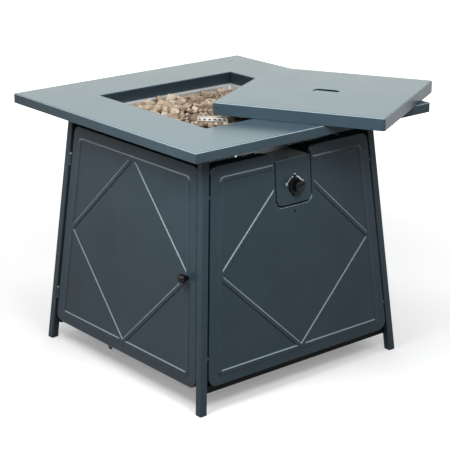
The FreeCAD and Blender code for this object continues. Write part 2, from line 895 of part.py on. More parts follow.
def box_profile(grow):
    """Side view of the control box as a prism along X."""
    top = BOX_TOP - grow
    low = BOX_BOTTOM + grow
    sheet = grow / math.cos(TILT)
    front_top = -half_at(top) + sheet
    front_low = -half_at(low) + sheet
    back = BOX_BACK if grow == 0 else BOX_BACK + THIN
    half = BOX_HALF - grow
    ring = [(front_top, top), (back, top), (back, low), (front_low, low), (front_top, top)]
    face = Part.Face(Part.makePolygon([Vector(-half, y, z) for y, z in ring]))
    return face.extrude(Vector(2 * half, 0, 0))


def box_outline(grow):
    """Front view of the control box as a prism along Y, round at the bottom."""
    half = BOX_HALF - grow
    points = [(-half, BOX_BOTTOM + grow), (half, BOX_BOTTOM + grow), (half, PAN_TOP), (-half, PAN_TOP)]
    radius = BOX_R - grow
    wire = rounded(points, [radius] * 4)
    solid = slab(wire, 0, TOP_W)
    solid.rotate(Vector(0, 0, 0), X, 90)
    return solid


def face_hole(radius, du, dv):
    """Cutter square through the box's face, placed from the knob's middle."""
    return Part.makeCylinder(radius, THROUGH, Vector(du, KNOB_V + dv, -THROUGH / 2))


def control_box():
    outer = box_profile(0).common(box_outline(0))
    front = [e for e in outer.Edges if e.BoundBox.YMax < -half_at(BOX_TOP) + SNUG]
    outer = outer.makeFillet(THIN, front)
    inner = box_profile(THIN).common(box_outline(THIN))
    shell = outer.cut(inner)
    shell = shell.cut(on_face(face_hole(SPINDLE_HOLE_R, 0, 0), "front"))
    for du, dv in FACE_SCREWS:
        shell = shell.cut(on_face(face_hole(M4 + HOLE_PLAY, du, dv), "front"))
    for z in SIDE_SCREW_ZS:
        shell = shell.cut(side_hole(z, M4 + HOLE_PLAY))
    place = inlet_point()
    place.z = BOX_BOTTOM - THIN
    return shell.cut(Part.makeCylinder(INLET_HEX_R + 1.5, 3 * THIN, place))


def side_hole(z, radius):
    """Cutter through both sides of the control box."""
    reach = BOX_HALF + THIN
    return rod(radius, Vector(-reach, SIDE_SCREW_Y, z), Vector(reach, SIDE_SCREW_Y, z))


def face_point(v, n):
    """World point on the middle line of the front face."""
    c = math.cos(TILT)
    s = math.sin(TILT)
    return Vector(0, -FOOT_HALF + v * s - n * c, v * c + n * s)


def inlet_point():
    """Centre of the valve's lower side."""
    return face_point(KNOB_V - VALVE_HALF, -INLET_PLACE)


def valve_body():
    """Gas valve: block, front flange, outlet boss behind and inlet boss below."""
    wide = VALVE_FLANGE_HALF
    tall = VALVE_FLANGE_UP
    step = -THIN - VALVE_FLANGE_T
    flange = box(-wide, wide, KNOB_V - tall, KNOB_V + tall, step, -THIN)
    half = VALVE_HALF
    block = box(-half, half, KNOB_V - half, KNOB_V + half, -VALVE_BACK, step)
    block = block.makeFillet(4, upright_edges(block))
    outlet = Part.makeCylinder(OUTLET_R, OUTLET_L + 1, Vector(0, KNOB_V, -VALVE_BACK - OUTLET_L))
    solid = fuse([flange, block, outlet])
    bore = Part.makeCylinder(SPINDLE_R + TURN_CLEAR, VALVE_BACK, Vector(0, KNOB_V, -SPINDLE_IN - 2))
    passage = Part.makeCylinder(PIPE_R + SNUG, OUTLET_L + 3, Vector(0, KNOB_V, -VALVE_BACK - OUTLET_L - 1))
    solid = solid.cut(bore).cut(passage)
    for du, dv in FACE_SCREWS:
        solid = solid.cut(face_hole(M4 + SNUG, du, dv))
    return on_face(solid, "front")


def valve_inlet():
    """Flare fitting below the valve for the gas hose."""
    top = inlet_point() + Vector(0, 0, -0.5)
    shoulder = top - Vector(0, 0, INLET_HEX_L)
    end = shoulder - Vector(0, 0, INLET_L)
    hexagon = Part.makeCylinder(INLET_HEX_R, INLET_HEX_L, shoulder)
    thread = rod(INLET_R, shoulder, end)
    cone = Part.makeCone(6.0, 4.0, 3.0, end, Vector(0, 0, -1))
    bore = rod(INLET_BORE_R, top - Vector(0, 0, INLET_HEX_L / 2), end - Vector(0, 0, THROUGH))
    return fuse([hexagon, thread, cone]).cut(bore).cut(valve_body())


def d_shaft(radius, flat, n0, n1, round_to):
    """Round shaft with a flat from one level outwards."""
    shaft = Part.makeCylinder(radius, n1 - n0, Vector(0, KNOB_V, n0))
    cut = box(-10, 10, KNOB_V + flat, KNOB_V + 20, round_to, n1 + 1)
    return shaft.cut(cut)


def valve_spindle():
    tip = KNOB_GAP + SPINDLE_GRIP
    flat_from = KNOB_GAP - KNOB_TRAVEL - FLAT_EXTRA
    return on_face(d_shaft(SPINDLE_R, SPINDLE_FLAT, -SPINDLE_IN, tip, flat_from), "front")


def control_knob():
    """Round skirt, tapered grip and a raised pointer bar."""
    base = KNOB_GAP
    step = base + SKIRT_H
    end = base + KNOB_L
    skirt = Part.makeCylinder(KNOB_R, SKIRT_H, Vector(0, KNOB_V, base))
    skirt = skirt.makeFillet(1.2, edges_at(skirt, step))
    grip = Part.makeCone(GRIP_R, GRIP_TOP_R, KNOB_L - SKIRT_H, Vector(0, KNOB_V, step))
    grip = grip.makeFillet(1.5, edges_at(grip, end))
    half = POINTER_W / 2
    bar = box(-half, half, KNOB_V - GRIP_R, KNOB_V + GRIP_R, step, end + POINTER_PROUD)
    bar = bar.makeFillet(1.2, edges_at(bar, end + POINTER_PROUD))
    bar.rotate(Vector(0, KNOB_V, 0), Z, POINTER_OFF)
    solid = fuse([skirt, grip, bar])
    flat = SPINDLE_FLAT + TURN_CLEAR
    depth = base + SPINDLE_GRIP + KNOB_TRAVEL + TIP_ROOM
    socket = d_shaft(SPINDLE_R + TURN_CLEAR, flat, base - 1, depth, base - 2)
    return on_face(solid.cut(socket), "front")


def valve_bracket():
    """Galvanised plate that hangs the control box from the burner pan."""
    half = BOX_HALF
    inside = BOX_HALF - THIN
    front = BOX_BACK + BRACKET_GAP
    plate = box(-half, half, front, -PAN_HALF, BOX_BOTTOM + BOX_R + 1, PAN_TOP - 6)
    wings = []
    for sign in (-1, 1):
        x0 = min(sign * inside, sign * (inside - SHEET))
        y0 = BOX_BACK - BRACKET_WING
        wings.append(box(x0, x0 + SHEET, y0, front, BOX_BOTTOM + BOX_R + 1, BOX_TOP - 8))
    solid = fuse([plate] + wings)
    inside_point = face_point(KNOB_V, -VALVE_BACK - PIPE_RUN)
    solid = solid.cut(rod(OUTLET_R + HOLE_PLAY, face_point(KNOB_V, -VALVE_BACK), inside_point))
    for z in SIDE_SCREW_ZS:
        solid = solid.cut(side_hole(z, M4 + SNUG))
    return solid


def control_screws():
    """Two screws in the box's face and four in its sides."""
    screws = []
    for du, dv in FACE_SCREWS:
        body = screw(M4, VALVE_FLANGE_T + 0.8, M4_HEAD_R, M4_HEAD_T)
        body = aimed(body, Vector(du, KNOB_V + dv, 0), Z)
        screws.append(on_face(body, "front"))
    for sign in (-1, 1):
        for z in SIDE_SCREW_ZS:
            body = screw(M4, 6.0, M4_HEAD_R, M4_HEAD_T)
            screws.append(aimed(body, Vector(sign * BOX_HALF, SIDE_SCREW_Y, z), Vector(sign, 0, 0)))
    return screws


# Burner pan, burner, gas line, pilot and stones

def burner_pan():
    rim = box(-PAN_RIM_HALF, PAN_RIM_HALF, -PAN_RIM_HALF, PAN_RIM_HALF, PAN_TOP - THIN, PAN_TOP)
    well = box(-PAN_HALF, PAN_HALF, -PAN_HALF, PAN_HALF, PAN_FLOOR, PAN_TOP - 0.1)
    well = well.makeFillet(PAN_R, upright_edges(well))
    inner = PAN_HALF - THIN
    hollow = box(-inner, inner, -inner, inner, PAN_FLOOR + THIN, PAN_TOP + 1)
    hollow = hollow.makeFillet(PAN_R - THIN, upright_edges(hollow))
    pan = rim.fuse(well).cut(hollow).removeSplitter()
    pan = pan.cut(Part.makeCylinder(MIXER_R + HOLE_PLAY, 10, Vector(0, 0, PAN_FLOOR - 4)))
    for sx, sy in ((-1, 1), (1, 1), (1, -1), (0, 1)):
        place = Vector(sx * DRAIN_OUT, sy * DRAIN_OUT, PAN_FLOOR - 4)
        pan = pan.cut(Part.makeCylinder(DRAIN_R, 10, place))
    for x, y in clip_places():
        pan = pan.cut(Part.makeCylinder(M4 + SNUG, 10, Vector(x, y, PAN_TOP - 5)))
    return pan


def clip_places():
    return ((0, -CLIP_SCREW), (CLIP_SCREW, 0), (0, CLIP_SCREW), (-CLIP_SCREW, 0))


def pan_clip():
    """Z-shaped clip on the front side; welded under the top, screwed to the pan."""
    low = PAN_TOP - THIN
    top = HEIGHT - SHEET
    half = CLIP_HALF
    foot = box(-half, half, -CLIP_OUT - SHEET, -CLIP_SCREW + 7, low - SHEET, low)
    web = box(-half, half, -CLIP_OUT - SHEET, -CLIP_OUT, low - SHEET, top)
    tab = box(-half, half, -CLIP_OUT - CLIP_TAB, -CLIP_OUT, top - SHEET, top)
    hole = Part.makeCylinder(M4 + SNUG, 10, Vector(0, -CLIP_SCREW, low - 6))
    return fuse([foot, web, tab]).cut(hole)


def pan_screws():
    low = PAN_TOP - THIN - SHEET
    screws = []
    for x, y in clip_places():
        body = screw(M4, THIN + SHEET - 0.1, M4_HEAD_R, M4_HEAD_T)
        screws.append(aimed(body, Vector(x, y, low), Vector(0, 0, -1)))
    return screws


def burner_ring():
    """Tubular ring with a cross-tube, a hub and gas ports along its crown."""
    centre = Vector(0, 0, RING_Z)
    ring = Part.makeTorus(RING_R, RING_TUBE, centre)
    bar = rod(BAR_R, Vector(-RING_R, 0, RING_Z), Vector(RING_R, 0, RING_Z))
    low = PAN_FLOOR + THIN
    hub = Part.makeCylinder(HUB_R, HUB_TOP - low, Vector(0, 0, low))
    solid = ring.fuse(bar).fuse(hub)
    hollow = Part.makeTorus(RING_R, RING_TUBE - BURNER_WALL, centre)
    hollow = hollow.fuse(rod(BAR_R - BURNER_WALL, Vector(-RING_R, 0, RING_Z), Vector(RING_R, 0, RING_Z)))
    hollow = hollow.fuse(Part.makeCylinder(MIXER_R - MIXER_WALL, 20, Vector(0, 0, PAN_FLOOR)))
    solid = solid.cut(hollow).fuse(mixer_tube()).removeSplitter()
    ports = []
    for k in range(PORTS):
        angle = 2 * math.pi * (k + 0.5) / PORTS
        place = Vector(RING_R * math.cos(angle), RING_R * math.sin(angle), RING_Z + 2)
        ports.append(Part.makeCylinder(PORT_R, 12, place))
    return solid.cut(Part.makeCompound(ports))


def mixer_tube():
    """Inlet tube below the burner's hub where gas draws in air through two windows."""
    top = PAN_FLOOR + MIXER_IN
    tube = rod(MIXER_R, Vector(0, 0, MIXER_LOW), Vector(0, 0, top))
    tube = tube.cut(rod(MIXER_R - MIXER_WALL, Vector(0, 0, MIXER_LOW - 1), Vector(0, 0, top + 1)))
    reach = MIXER_R + 2
    window = box(-WINDOW_HALF, WINDOW_HALF, -reach, reach, MIXER_LOW + 9, MIXER_LOW + 20)
    return tube.cut(window)


def orifice():
    """Brass elbow with the gas jet that closes the mixer's lower end."""
    half = ELBOW_HALF
    block = box(-half, half, -half, half, PIPE_Z - half, MIXER_LOW - 0.5)
    block = block.makeFillet(1.5, block.Edges)
    plug_r = MIXER_R - MIXER_WALL - SNUG
    plug = rod(plug_r, Vector(0, 0, MIXER_LOW - 2), Vector(0, 0, MIXER_LOW + 5))
    jet = rod(plug_r / 2, Vector(0, 0, MIXER_LOW + 4), Vector(0, 0, MIXER_LOW + 8))
    solid = fuse([block, plug, jet])
    seat = rod(PIPE_R + SNUG, Vector(0, -half - 4, PIPE_Z), Vector(0, -2, PIPE_Z))
    cross = rod(PIPE_R - PIPE_WALL, Vector(0, -3, PIPE_Z), Vector(0, 1, PIPE_Z))
    bore = rod(PORT_R, Vector(0, 0, PIPE_Z - 1), Vector(0, 0, MIXER_LOW + 10))
    return solid.cut(seat).cut(cross).cut(bore)


def gas_pipe():
    """Bent aluminium tube from the valve's slanting outlet to the burner's elbow."""
    start = face_point(KNOB_V, -VALVE_BACK - 2)
    rise = face_point(KNOB_V, -VALVE_BACK - PIPE_RUN)
    crest = (rise.y + PIPE_RISE_L, PIPE_Z)
    points = [(start.y, start.z), (rise.y, rise.z), crest, (-2.5, PIPE_Z)]
    path = rounded(points, [0, PIPE_BEND_R, PIPE_BEND_R, 0], closed=False)
    path.rotate(Vector(0, 0, 0), Vector(1, 1, 1), 120)
    circle = Part.Circle(start, rise - start, PIPE_R).toShape()
    inner = Part.Circle(start, rise - start, PIPE_R - PIPE_WALL).toShape()
    outside = path.makePipeShell([Part.Wire(circle)], True, False)
    inside = path.makePipeShell([Part.Wire(inner)], True, False)
    return outside.cut(inside)


def on_guard(shape):
    """Place a piece drawn about the guard's middle, its holed face towards -Y."""
    placed = turned(shape, -45)
    placed.translate(Vector(-GUARD_AT, -GUARD_AT, 0))
    return placed


def pilot_guard():
    """Perforated cover over the pilot parts, open below."""
    floor = PAN_FLOOR + THIN
    half = GUARD_L / 2
    deep = GUARD_D / 2
    outer = box(-half, half, -deep, deep, floor, GUARD_TOP)
    outer = outer.makeChamfer(GUARD_CHAMFER, near_edges(outer))
    t = GUARD_T
    inner = box(-half + t, half - t, -deep + t, deep - t, floor - 1, GUARD_TOP - t)
    inner = inner.makeChamfer(GUARD_CHAMFER - 0.4 * t, near_edges(inner))
    shell = outer.cut(inner)
    for row in range(3):
        z = GUARD_TOP - 7.5 - row * GUARD_ROW
        places = [k * GUARD_PITCH - 3.0 for k in range(-2, 3)] + [half - 6.5]
        for x in places:
            shell = shell.cut(rod(GUARD_HOLE_R, Vector(x, -deep - 8, z), Vector(x, 0, z)))
    return on_guard(shell)


def near_edges(shape):
    """Upright edges on the -Y side."""
    return [e for e in upright_edges(shape) if e.BoundBox.YMax < 0]


def collar(x):
    """Round foot of a pilot part on the pan's floor."""
    floor = PAN_FLOOR + THIN
    return rod(COLLAR_R, Vector(x, 0, floor), Vector(x, 0, floor + COLLAR_H))


def electrode():
    """Ceramic-sleeved spark rod."""
    x = SPARK_AT
    sleeve = rod(3.5, Vector(x, 0, PAN_FLOOR + THIN), Vector(x, 0, SPARK_TOP - 14))
    tip = rod(1.2, Vector(x, 0, SPARK_TOP - 16), Vector(x, 0, SPARK_TOP))
    return on_guard(fuse([sleeve, collar(x), tip]))


def thermocouple():
    """Flame sensor beside the spark rod."""
    x = SENSOR_AT
    body = rod(2.4, Vector(x, 0, PAN_FLOOR + THIN), Vector(x, 0, SENSOR_TOP))
    point = Part.makeSphere(2.4, Vector(x, 0, SENSOR_TOP))
    return on_guard(fuse([body, collar(x), point]))


def wobble(a, b, c):
    """Repeatable number between -1 and 1 from three whole numbers."""
    value = math.sin(a * 12.9898 + b * 78.233 + c * 37.719) * 43758.5453
    return 2 * (value - math.floor(value)) - 1


def lump(centre, radius, seed):
    """Rough stone: a twenty-sided block with uneven corners."""
    g = (1 + math.sqrt(5)) / 2
    raw = []
    for a in (-1, 1):
        for b in (-g, g):
            raw += [(0, a, b), (a, b, 0), (b, 0, a)]
    turn = Rotation(180 * wobble(seed, 1, 2), 90 * wobble(seed, 3, 4), 180 * wobble(seed, 5, 6))
    corners = []
    for i, p in enumerate(raw):
        point = Vector(*p)
        point.normalize()
        corners.append(centre + turn.multVec(point) * (radius * (0.93 + 0.07 * wobble(seed, i, 9))))
    faces = []
    edge = 2.0
    for i in range(12):
        for j in range(i + 1, 12):
            for k in range(j + 1, 12):
                a, b, c = Vector(*raw[i]), Vector(*raw[j]), Vector(*raw[k])
                sides = ((a - b).Length, (b - c).Length, (a - c).Length)
                if max(sides) < edge + 0.01:
                    ring = [corners[i], corners[j], corners[k], corners[i]]
                    faces.append(Part.Face(Part.makePolygon(ring)))
    solid = Part.Solid(Part.Shell(faces))
    if solid.Volume < 0:
        solid.reverse()
    return solid


def blocked(p, radius):
    """True where a stone would meet the burner, the guard or the pan's wall."""
    room = radius + STONE_ROOM
    flat = math.hypot(p.x, p.y)
    if math.hypot(flat - RING_R, p.z - RING_Z) < RING_TUBE + room:
        return True
    if abs(p.x) < RING_R and math.hypot(p.y, p.z - RING_Z) < BAR_R + room:
        return True
    if flat < HUB_R + room and p.z < HUB_TOP + room:
        return True
    along = (p.x - p.y) / math.sqrt(2)
    across = (p.x + p.y) / math.sqrt(2) + GUARD_AT * math.sqrt(2)
    if abs(along) < GUARD_L / 2 + room and abs(across) < GUARD_D / 2 + room:
        return True
    if max(abs(p.x), abs(p.y)) > PAN_HALF - THIN - room:
        return True
    return p.z - room < PAN_FLOOR + THIN


def lava_rocks():
    """Loose stones in three layers, heaped towards the middle."""
    stones = []
    low = PAN_FLOOR + THIN
    wide = PAN_HALF * 2
    layers = zip(STONE_LEVELS, (10, 11, 10), (wide, wide, STONE_HEAP_R))
    for level, (rise, count, reach) in enumerate(layers):
        for i in range(count):
            for j in range(count):
                seed = level * 400 + i * 20 + j
                x = (i - (count - 1) / 2) * STONE_PITCH + STONE_PLAY * wobble(seed, 2, 1)
                y = (j - (count - 1) / 2) * STONE_PITCH + STONE_PLAY * wobble(seed, 4, 1)
                radius = STONE_R + STONE_VARY * wobble(seed, 7, 3)
                place = Vector(x, y, low + rise)
                if math.hypot(x, y) < reach and not blocked(place, radius):
                    stones.append(lump(place, radius, seed))
    return stones


# Gas bottle support

def bottle_strap(sign):
    """Joggled flat bar that lies on the front and back rails."""
    end = rail_out()
    seat = end - STRAP_SEAT
    foot = seat - STRAP_JOG
    low = STRAP_Z
    top = RAIL_Z + TUBE
    under = [(-end, top), (-seat, top), (-foot, low), (foot, low), (seat, top), (end, top)]
    over = [(y, z + STRAP_T) for y, z in reversed(under)]
    ring = under + over + [under[0]]
    x0 = sign * STRAP_X - STRAP_W / 2
    face = Part.Face(Part.makePolygon([Vector(x0, y, z) for y, z in ring]))
    bar = face.extrude(Vector(STRAP_W, 0, 0))
    for x, y in strap_places():
        bar = bar.cut(Part.makeCylinder(M5 + HOLE_PLAY, THROUGH, Vector(x, y, top - 1)))
    return bar


def strap_places():
    """Screws on the rails that hold the straps."""
    end = rail_out() - TUBE / 2
    return [(sx * STRAP_X, sy * end) for sx in (-1, 1) for sy in (-1, 1)]


def strap_screws():
    screws = []
    for x, y in strap_places():
        body = screw(M5, STRAP_T + WALL + 4, M5_HEAD_R, M5_HEAD_T)
        screws.append(aimed(body, Vector(x, y, RAIL_Z + TUBE + STRAP_T), Z))
    return screws


def bolt_rod(radius, x0, x1):
    """Round bar on the clamp bolt's line."""
    return rod(radius, Vector(x0, 0, BOLT_Z), Vector(x1, 0, BOLT_Z))


def bottle_cradle():
    """Ring for the gas bottle's foot, with a boss and a pocket for the clamp."""
    base = STRAP_Z + STRAP_T
    ring = Part.makeCylinder(CRADLE_R + CRADLE_WALL, CRADLE_H, Vector(0, 0, base))
    boss = bolt_rod(BOSS_R, -CRADLE_R - BOSS_L, -CRADLE_R - 1)
    bore = Part.makeCylinder(CRADLE_R, CRADLE_H + 20, Vector(0, 0, base - 10))
    pocket = bolt_rod(PAD_R + POCKET_CLEAR, -CRADLE_R - POCKET_D, -CRADLE_R + 20)
    hole = bolt_rod(BOLT_R + TURN_CLEAR, -CRADLE_R - BOSS_L - 5, -CRADLE_R)
    return ring.fuse(boss).cut(bore).cut(pocket).cut(hole).removeSplitter()


def pad_front():
    """Face of the clamp pad at rest, just outside the cradle's bore."""
    return -CRADLE_R - PAD_BACK


def clamp_bolt():
    """Wing bolt whose nose turns in the pad."""
    back = pad_front() - PAD_T
    end = back - 0.4 - BOLT_L
    shank = bolt_rod(BOLT_R, end, back - 0.4)
    nose = bolt_rod(NOSE_R, back - 1, back + NOSE_L)
    hub = bolt_rod(BOLT_R + 3, end - 10, end)
    wing = box(end - 10, end - 1, -WING_HALF, WING_HALF, BOLT_Z - 2, BOLT_Z + 2)
    wing = wing.makeFillet(1.5, wing.Edges)
    return fuse([shank, nose, hub, wing])


def clamp_pad():
    """Pad on the bolt's nose; it presses on the bottle's foot."""
    front = pad_front()
    disc = bolt_rod(PAD_R, front - PAD_T, front)
    socket = bolt_rod(NOSE_R + TURN_CLEAR, front - PAD_T - 1, front - PAD_T + NOSE_L + 0.2)
    return disc.cut(socket)


def hose_hook():
    """Small wire hook under the rail below the door."""
    x = -door_rail_out() + TUBE / 4
    y = HOOK_Y
    z = DOOR_RAIL_Z
    low = (y + HOOK_REACH / 2, z - HOOK_DROP)
    tip = (y + HOOK_REACH, z - HOOK_TIP_DROP)
    points = [(y, z), (y, z - HOOK_STEM), low, tip]
    path = rounded(points, [0, 5, 4, 0], closed=False)
    path.rotate(Vector(0, 0, 0), Vector(1, 1, 1), 120)
    path.translate(Vector(x, 0, 0))
    circle = Part.Circle(Vector(x, y, z), Z, HOOK_R).toShape()
    return path.makePipeShell([Part.Wire(circle)], True, False)


# Lid, drawn about its own middle with its top at the origin

def on_lid(shape):
    placed = turned(shape, LID_TURN)
    placed.translate(Vector(LID_X, LID_Y, HEIGHT + LID_GAP + LID_H))
    return placed


def slot_wire(length, width):
    """Round-ended outline with its long way along Y."""
    r = width / 2
    a = length / 2 - r
    right = Part.makeLine(Vector(r, -a, 0), Vector(r, a, 0))
    top = Part.Arc(Vector(r, a, 0), Vector(0, a + r, 0), Vector(-r, a, 0)).toShape()
    left = Part.makeLine(Vector(-r, a, 0), Vector(-r, -a, 0))
    low = Part.Arc(Vector(-r, -a, 0), Vector(0, -a - r, 0), Vector(r, -a, 0)).toShape()
    return Part.Wire([right, top, left, low])


def lid_cover():
    half = LID_W / 2
    outer = box(-half, half, -half, half, -LID_H, 0)
    outer = outer.makeFillet(LID_R, upright_edges(outer))
    outer = outer.makeFillet(EDGE_R, edges_at(outer, 0))
    inner = box(-half + SHEET, half - SHEET, -half + SHEET, half - SHEET, -LID_H - 1, -SHEET)
    inner = inner.makeFillet(LID_R - SHEET, upright_edges(inner))
    shell = outer.cut(inner).cut(slab(slot_wire(SLOT_L, SLOT_W), -5, 5))
    y = half - VENT_INSET
    vent = rod(VENT_R, Vector(-half - 2, y, -LID_H / 2), Vector(-half + 4, y, -LID_H / 2))
    return on_lid(shell.cut(vent))


def lid_handle():
    """Strap across the slot, under the lid's sheet."""
    half = HANDLE_W / 2
    reach = SLOT_L / 2 + HANDLE_LAP
    bar = box(-half, half, -reach, reach, -SHEET - HANDLE_T, -SHEET)
    bar = bar.makeFillet(1.6, [e for e in bar.Edges if e.BoundBox.YLength > SLOT_L])
    return on_lid(bar)


def build():
    os.makedirs("parts", exist_ok=True)
    save(table_top(), "table_top")
    for side in SIDES:
        save(turned(top_channel(side in ("front", "back")), SIDES[side]), "top_channel_" + side)
    save(Part.makeCompound([corner_plate(sx, sy) for sx, sy in CORNERS.values()]), "corner_plates")
    save(Part.makeCompound(frame_studs()), "frame_studs")
    save(Part.makeCompound(frame_nuts()), "frame_nuts")
    holes = Part.makeCompound(leg_holes())
    for name, (sx, sy) in CORNERS.items():
        save(leg(sx, sy).cut(holes), "leg_" + name)
    save(Part.makeCompound([foot_plug(sx, sy) for sx, sy in CORNERS.values()]), "foot_plugs")
    for side, rail in base_rails().items():
        save(top_rail(side), "top_rail_" + side)
        save(rail, "base_rail_" + side)
    plain = plain_panel(PANEL_BOTTOM, PANEL_GAP, PANEL_GAP)
    panels = {"front": front_panel(), "right": plain, "back": plain}
    for side, panel in panels.items():
        for sign, z in screw_lines():
            panel = panel.cut(fixing_rod(sign, z, M5 + HOLE_PLAY, -THIN - 1, 1))
        save(on_face(panel, side), side + "_panel")
    screws, spacers = fixings()
    save(Part.makeCompound(screws), "panel_screws")
    save(Part.makeCompound(spacers), "panel_spacers")
    save(on_face(door_panel(), "left"), "door_panel")
    save(Part.makeCompound([on_face(door_knuckle(z), "left") for z in HINGE_ZS]), "door_knuckles")
    brackets = [on_face(hinge_bracket(z), "left").cut(leg_block(-1, 1)) for z in HINGE_ZS]
    save(Part.makeCompound([longest(bracket) for bracket in brackets]), "hinge_brackets")
    save(Part.makeCompound([on_face(hinge_pin(z), "left") for z in HINGE_ZS]), "hinge_pins")
    save(on_face(door_knob(), "left"), "door_knob")
    save(on_face(door_knob_screw(), "left"), "door_knob_screw")
    save(on_face(strike_plate(), "left"), "strike_plate")
    save(magnet_catch(), "magnet_catch")
    save(control_box(), "control_box")
    save(valve_bracket(), "valve_bracket")
    save(Part.makeCompound(control_screws()), "control_screws")
    save(valve_body(), "valve_body")
    save(valve_inlet(), "valve_inlet")
    save(valve_spindle(), "valve_spindle")
    save(control_knob(), "control_knob")
    save(burner_pan(), "burner_pan")
    save(Part.makeCompound([turned(pan_clip(), SIDES[side]) for side in SIDES]), "pan_clips")
    save(Part.makeCompound(pan_screws()), "pan_screws")
    save(burner_ring(), "burner_ring")
    save(orifice(), "gas_orifice")
    save(gas_pipe(), "gas_pipe")
    save(pilot_guard(), "pilot_guard")
    save(electrode(), "spark_electrode")
    save(thermocouple(), "thermocouple")
    save(Part.makeCompound(lava_rocks()), "lava_rocks")
    save(bottle_strap(-1), "bottle_strap_left")
    save(bottle_strap(1), "bottle_strap_right")
    save(Part.makeCompound(strap_screws()), "strap_screws")
    save(bottle_cradle(), "bottle_cradle")
    save(clamp_bolt(), "clamp_bolt")
    save(clamp_pad(), "clamp_pad")
    save(hose_hook(), "hose_hook")
    save(lid_cover(), "lid_cover")
    save(lid_handle(), "lid_handle")


build()
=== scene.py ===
import json
import math
import random

import bmesh
import bpy
from mathutils import Matrix, Vector, noise


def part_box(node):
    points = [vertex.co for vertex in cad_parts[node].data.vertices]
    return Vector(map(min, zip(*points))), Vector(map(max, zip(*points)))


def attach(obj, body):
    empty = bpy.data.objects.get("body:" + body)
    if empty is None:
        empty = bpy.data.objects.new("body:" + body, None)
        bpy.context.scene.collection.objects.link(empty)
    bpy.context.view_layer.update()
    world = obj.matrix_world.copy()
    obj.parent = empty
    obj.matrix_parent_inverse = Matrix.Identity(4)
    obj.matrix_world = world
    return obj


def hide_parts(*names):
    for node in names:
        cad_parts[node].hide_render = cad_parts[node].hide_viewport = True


# Gas fire pit table: a folded steel top on splayed tube legs, pressed panels, a door,
# a burner recess with lava stones, a control box and a loose lid. Metres.

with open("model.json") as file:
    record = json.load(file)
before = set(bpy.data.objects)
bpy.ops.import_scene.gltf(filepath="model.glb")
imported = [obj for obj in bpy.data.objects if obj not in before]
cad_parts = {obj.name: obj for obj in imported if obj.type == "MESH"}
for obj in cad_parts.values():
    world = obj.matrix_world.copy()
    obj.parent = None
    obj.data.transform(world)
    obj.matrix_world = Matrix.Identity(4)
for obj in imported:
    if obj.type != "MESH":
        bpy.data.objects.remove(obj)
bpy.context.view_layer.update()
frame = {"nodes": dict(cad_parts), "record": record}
MM = 0.001

# Points nearer than MERGE are one, and within LEVEL they lie on a plane
MERGE = 1e-6
LEVEL = 1e-7

# Splayed frame, read from the near leg
TUBE = 19 * MM
LEG_LOW, LEG_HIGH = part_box("leg_front_left")
HALF_LOW = -LEG_LOW.x
HALF_HIGH = TUBE - LEG_HIGH.x
SLOPE = (HALF_LOW - HALF_HIGH) / (LEG_HIGH.z - LEG_LOW.z)
FOOT_HALF = HALF_LOW + SLOPE * LEG_LOW.z
TILT = math.atan(SLOPE)
SIDES = {"front": 0, "right": 90, "back": 180, "left": -90}

# Panels
PANEL_TOP = 563 * MM
PANEL_BOTTOM = 62 * MM
DOOR_BOTTOM = 56 * MM
PANEL_GAP = 4.5 * MM
HINGE_GAP = 8 * MM
LATCH_GAP = 3.5 * MM
DOOR_RECESS = 2.5 * MM
PANEL_D = 10 * MM
PANEL_R = 21 * MM
PANEL_SHEET = 1.2 * MM
FOLD_R = 1.6 * MM

# Beads: the band's middle line lies this far in from a panel's sides, bottom and top
BAND_SIDE = 30 * MM
BAND_BOTTOM = 27 * MM
BAND_TOP = 32 * MM
BEAD_HALF = 7 * MM
BEAD_FLAT = 3.6 * MM
BEAD_H = 2 * MM
BEAD_R = 9 * MM
BEAD_STEPS = 4

# Cut-out for the control box, the shoulders beside it and the small hole under it
NOTCH_HALF = 56.5 * MM
NOTCH_Z = 432 * MM
NOTCH_R = 19.5 * MM
NOTCH_CLEAR = 3 * MM
SHOULDER_R = PANEL_R - 2 * MM
SHOULDER_FLANGE = 30 * MM
SHOULDER_EDGE = 0.01 * MM
HOLE_Z = 416 * MM
HOLE_R = 2.8 * MM

# Folded edge of the burner opening: soot thickens from one height down to the other
OPEN_HALF = 207 * MM
SEAM = 2 * MM
SOOT_HIGH = 633.5 * MM
SOOT_LOW = 630 * MM
SOOT_OUT = 0.5 * MM
SOOT_ON_FOLD = 0.6
SOOT_IN_SEAM = 0.92

# Dust lies within this height of the panels' tops, on faces at least this level
DUST_REACH = 5 * MM
DUST_LEVEL = 0.9

# Burner well
PAN_LEDGE = 32 * MM
PAN_SHEET = 1.2 * MM
WELL_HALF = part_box("burner_pan")[1].x - (PAN_LEDGE + PAN_SHEET)
WELL_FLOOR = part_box("burner_pan")[0].z + PAN_SHEET

# Pilot guard, and the length that stones leave it
GUARD_LOW, GUARD_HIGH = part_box("pilot_guard")
GUARD_MIDDLE = (GUARD_LOW + GUARD_HIGH) / 2
GUARD_ROOM = 75 * MM
GUARD_L = 72 * MM
GUARD_D = 24 * MM
GUARD_SLOPE = 5.5 * MM
GUARD_SHEET = 1.0 * MM
GUARD_HOLE_R = 2.0 * MM
GUARD_CELLS = 6
GUARD_TURN = -45
SLOPING = 0.3

# A stone's form: stretched along its own axes, swollen by shares of its radius at two rates
STRETCH = ((0.85, 1.25), (0.75, 1.1), (0.65, 0.95))
SWELLS = ((0.5, 1.5), (0.3, 3.7))
SEED_RANGE = 50
FULL_TURN = 6.28
# Each lump's random tone, and the painted shade on its underside: the share of tone kept at the bottom and
# how steeply it lightens upwards
TONES = (0.1, 1)
UNDERSIDE_PAINTED_SHADE = 0.35
TONE_RATE = 0.9

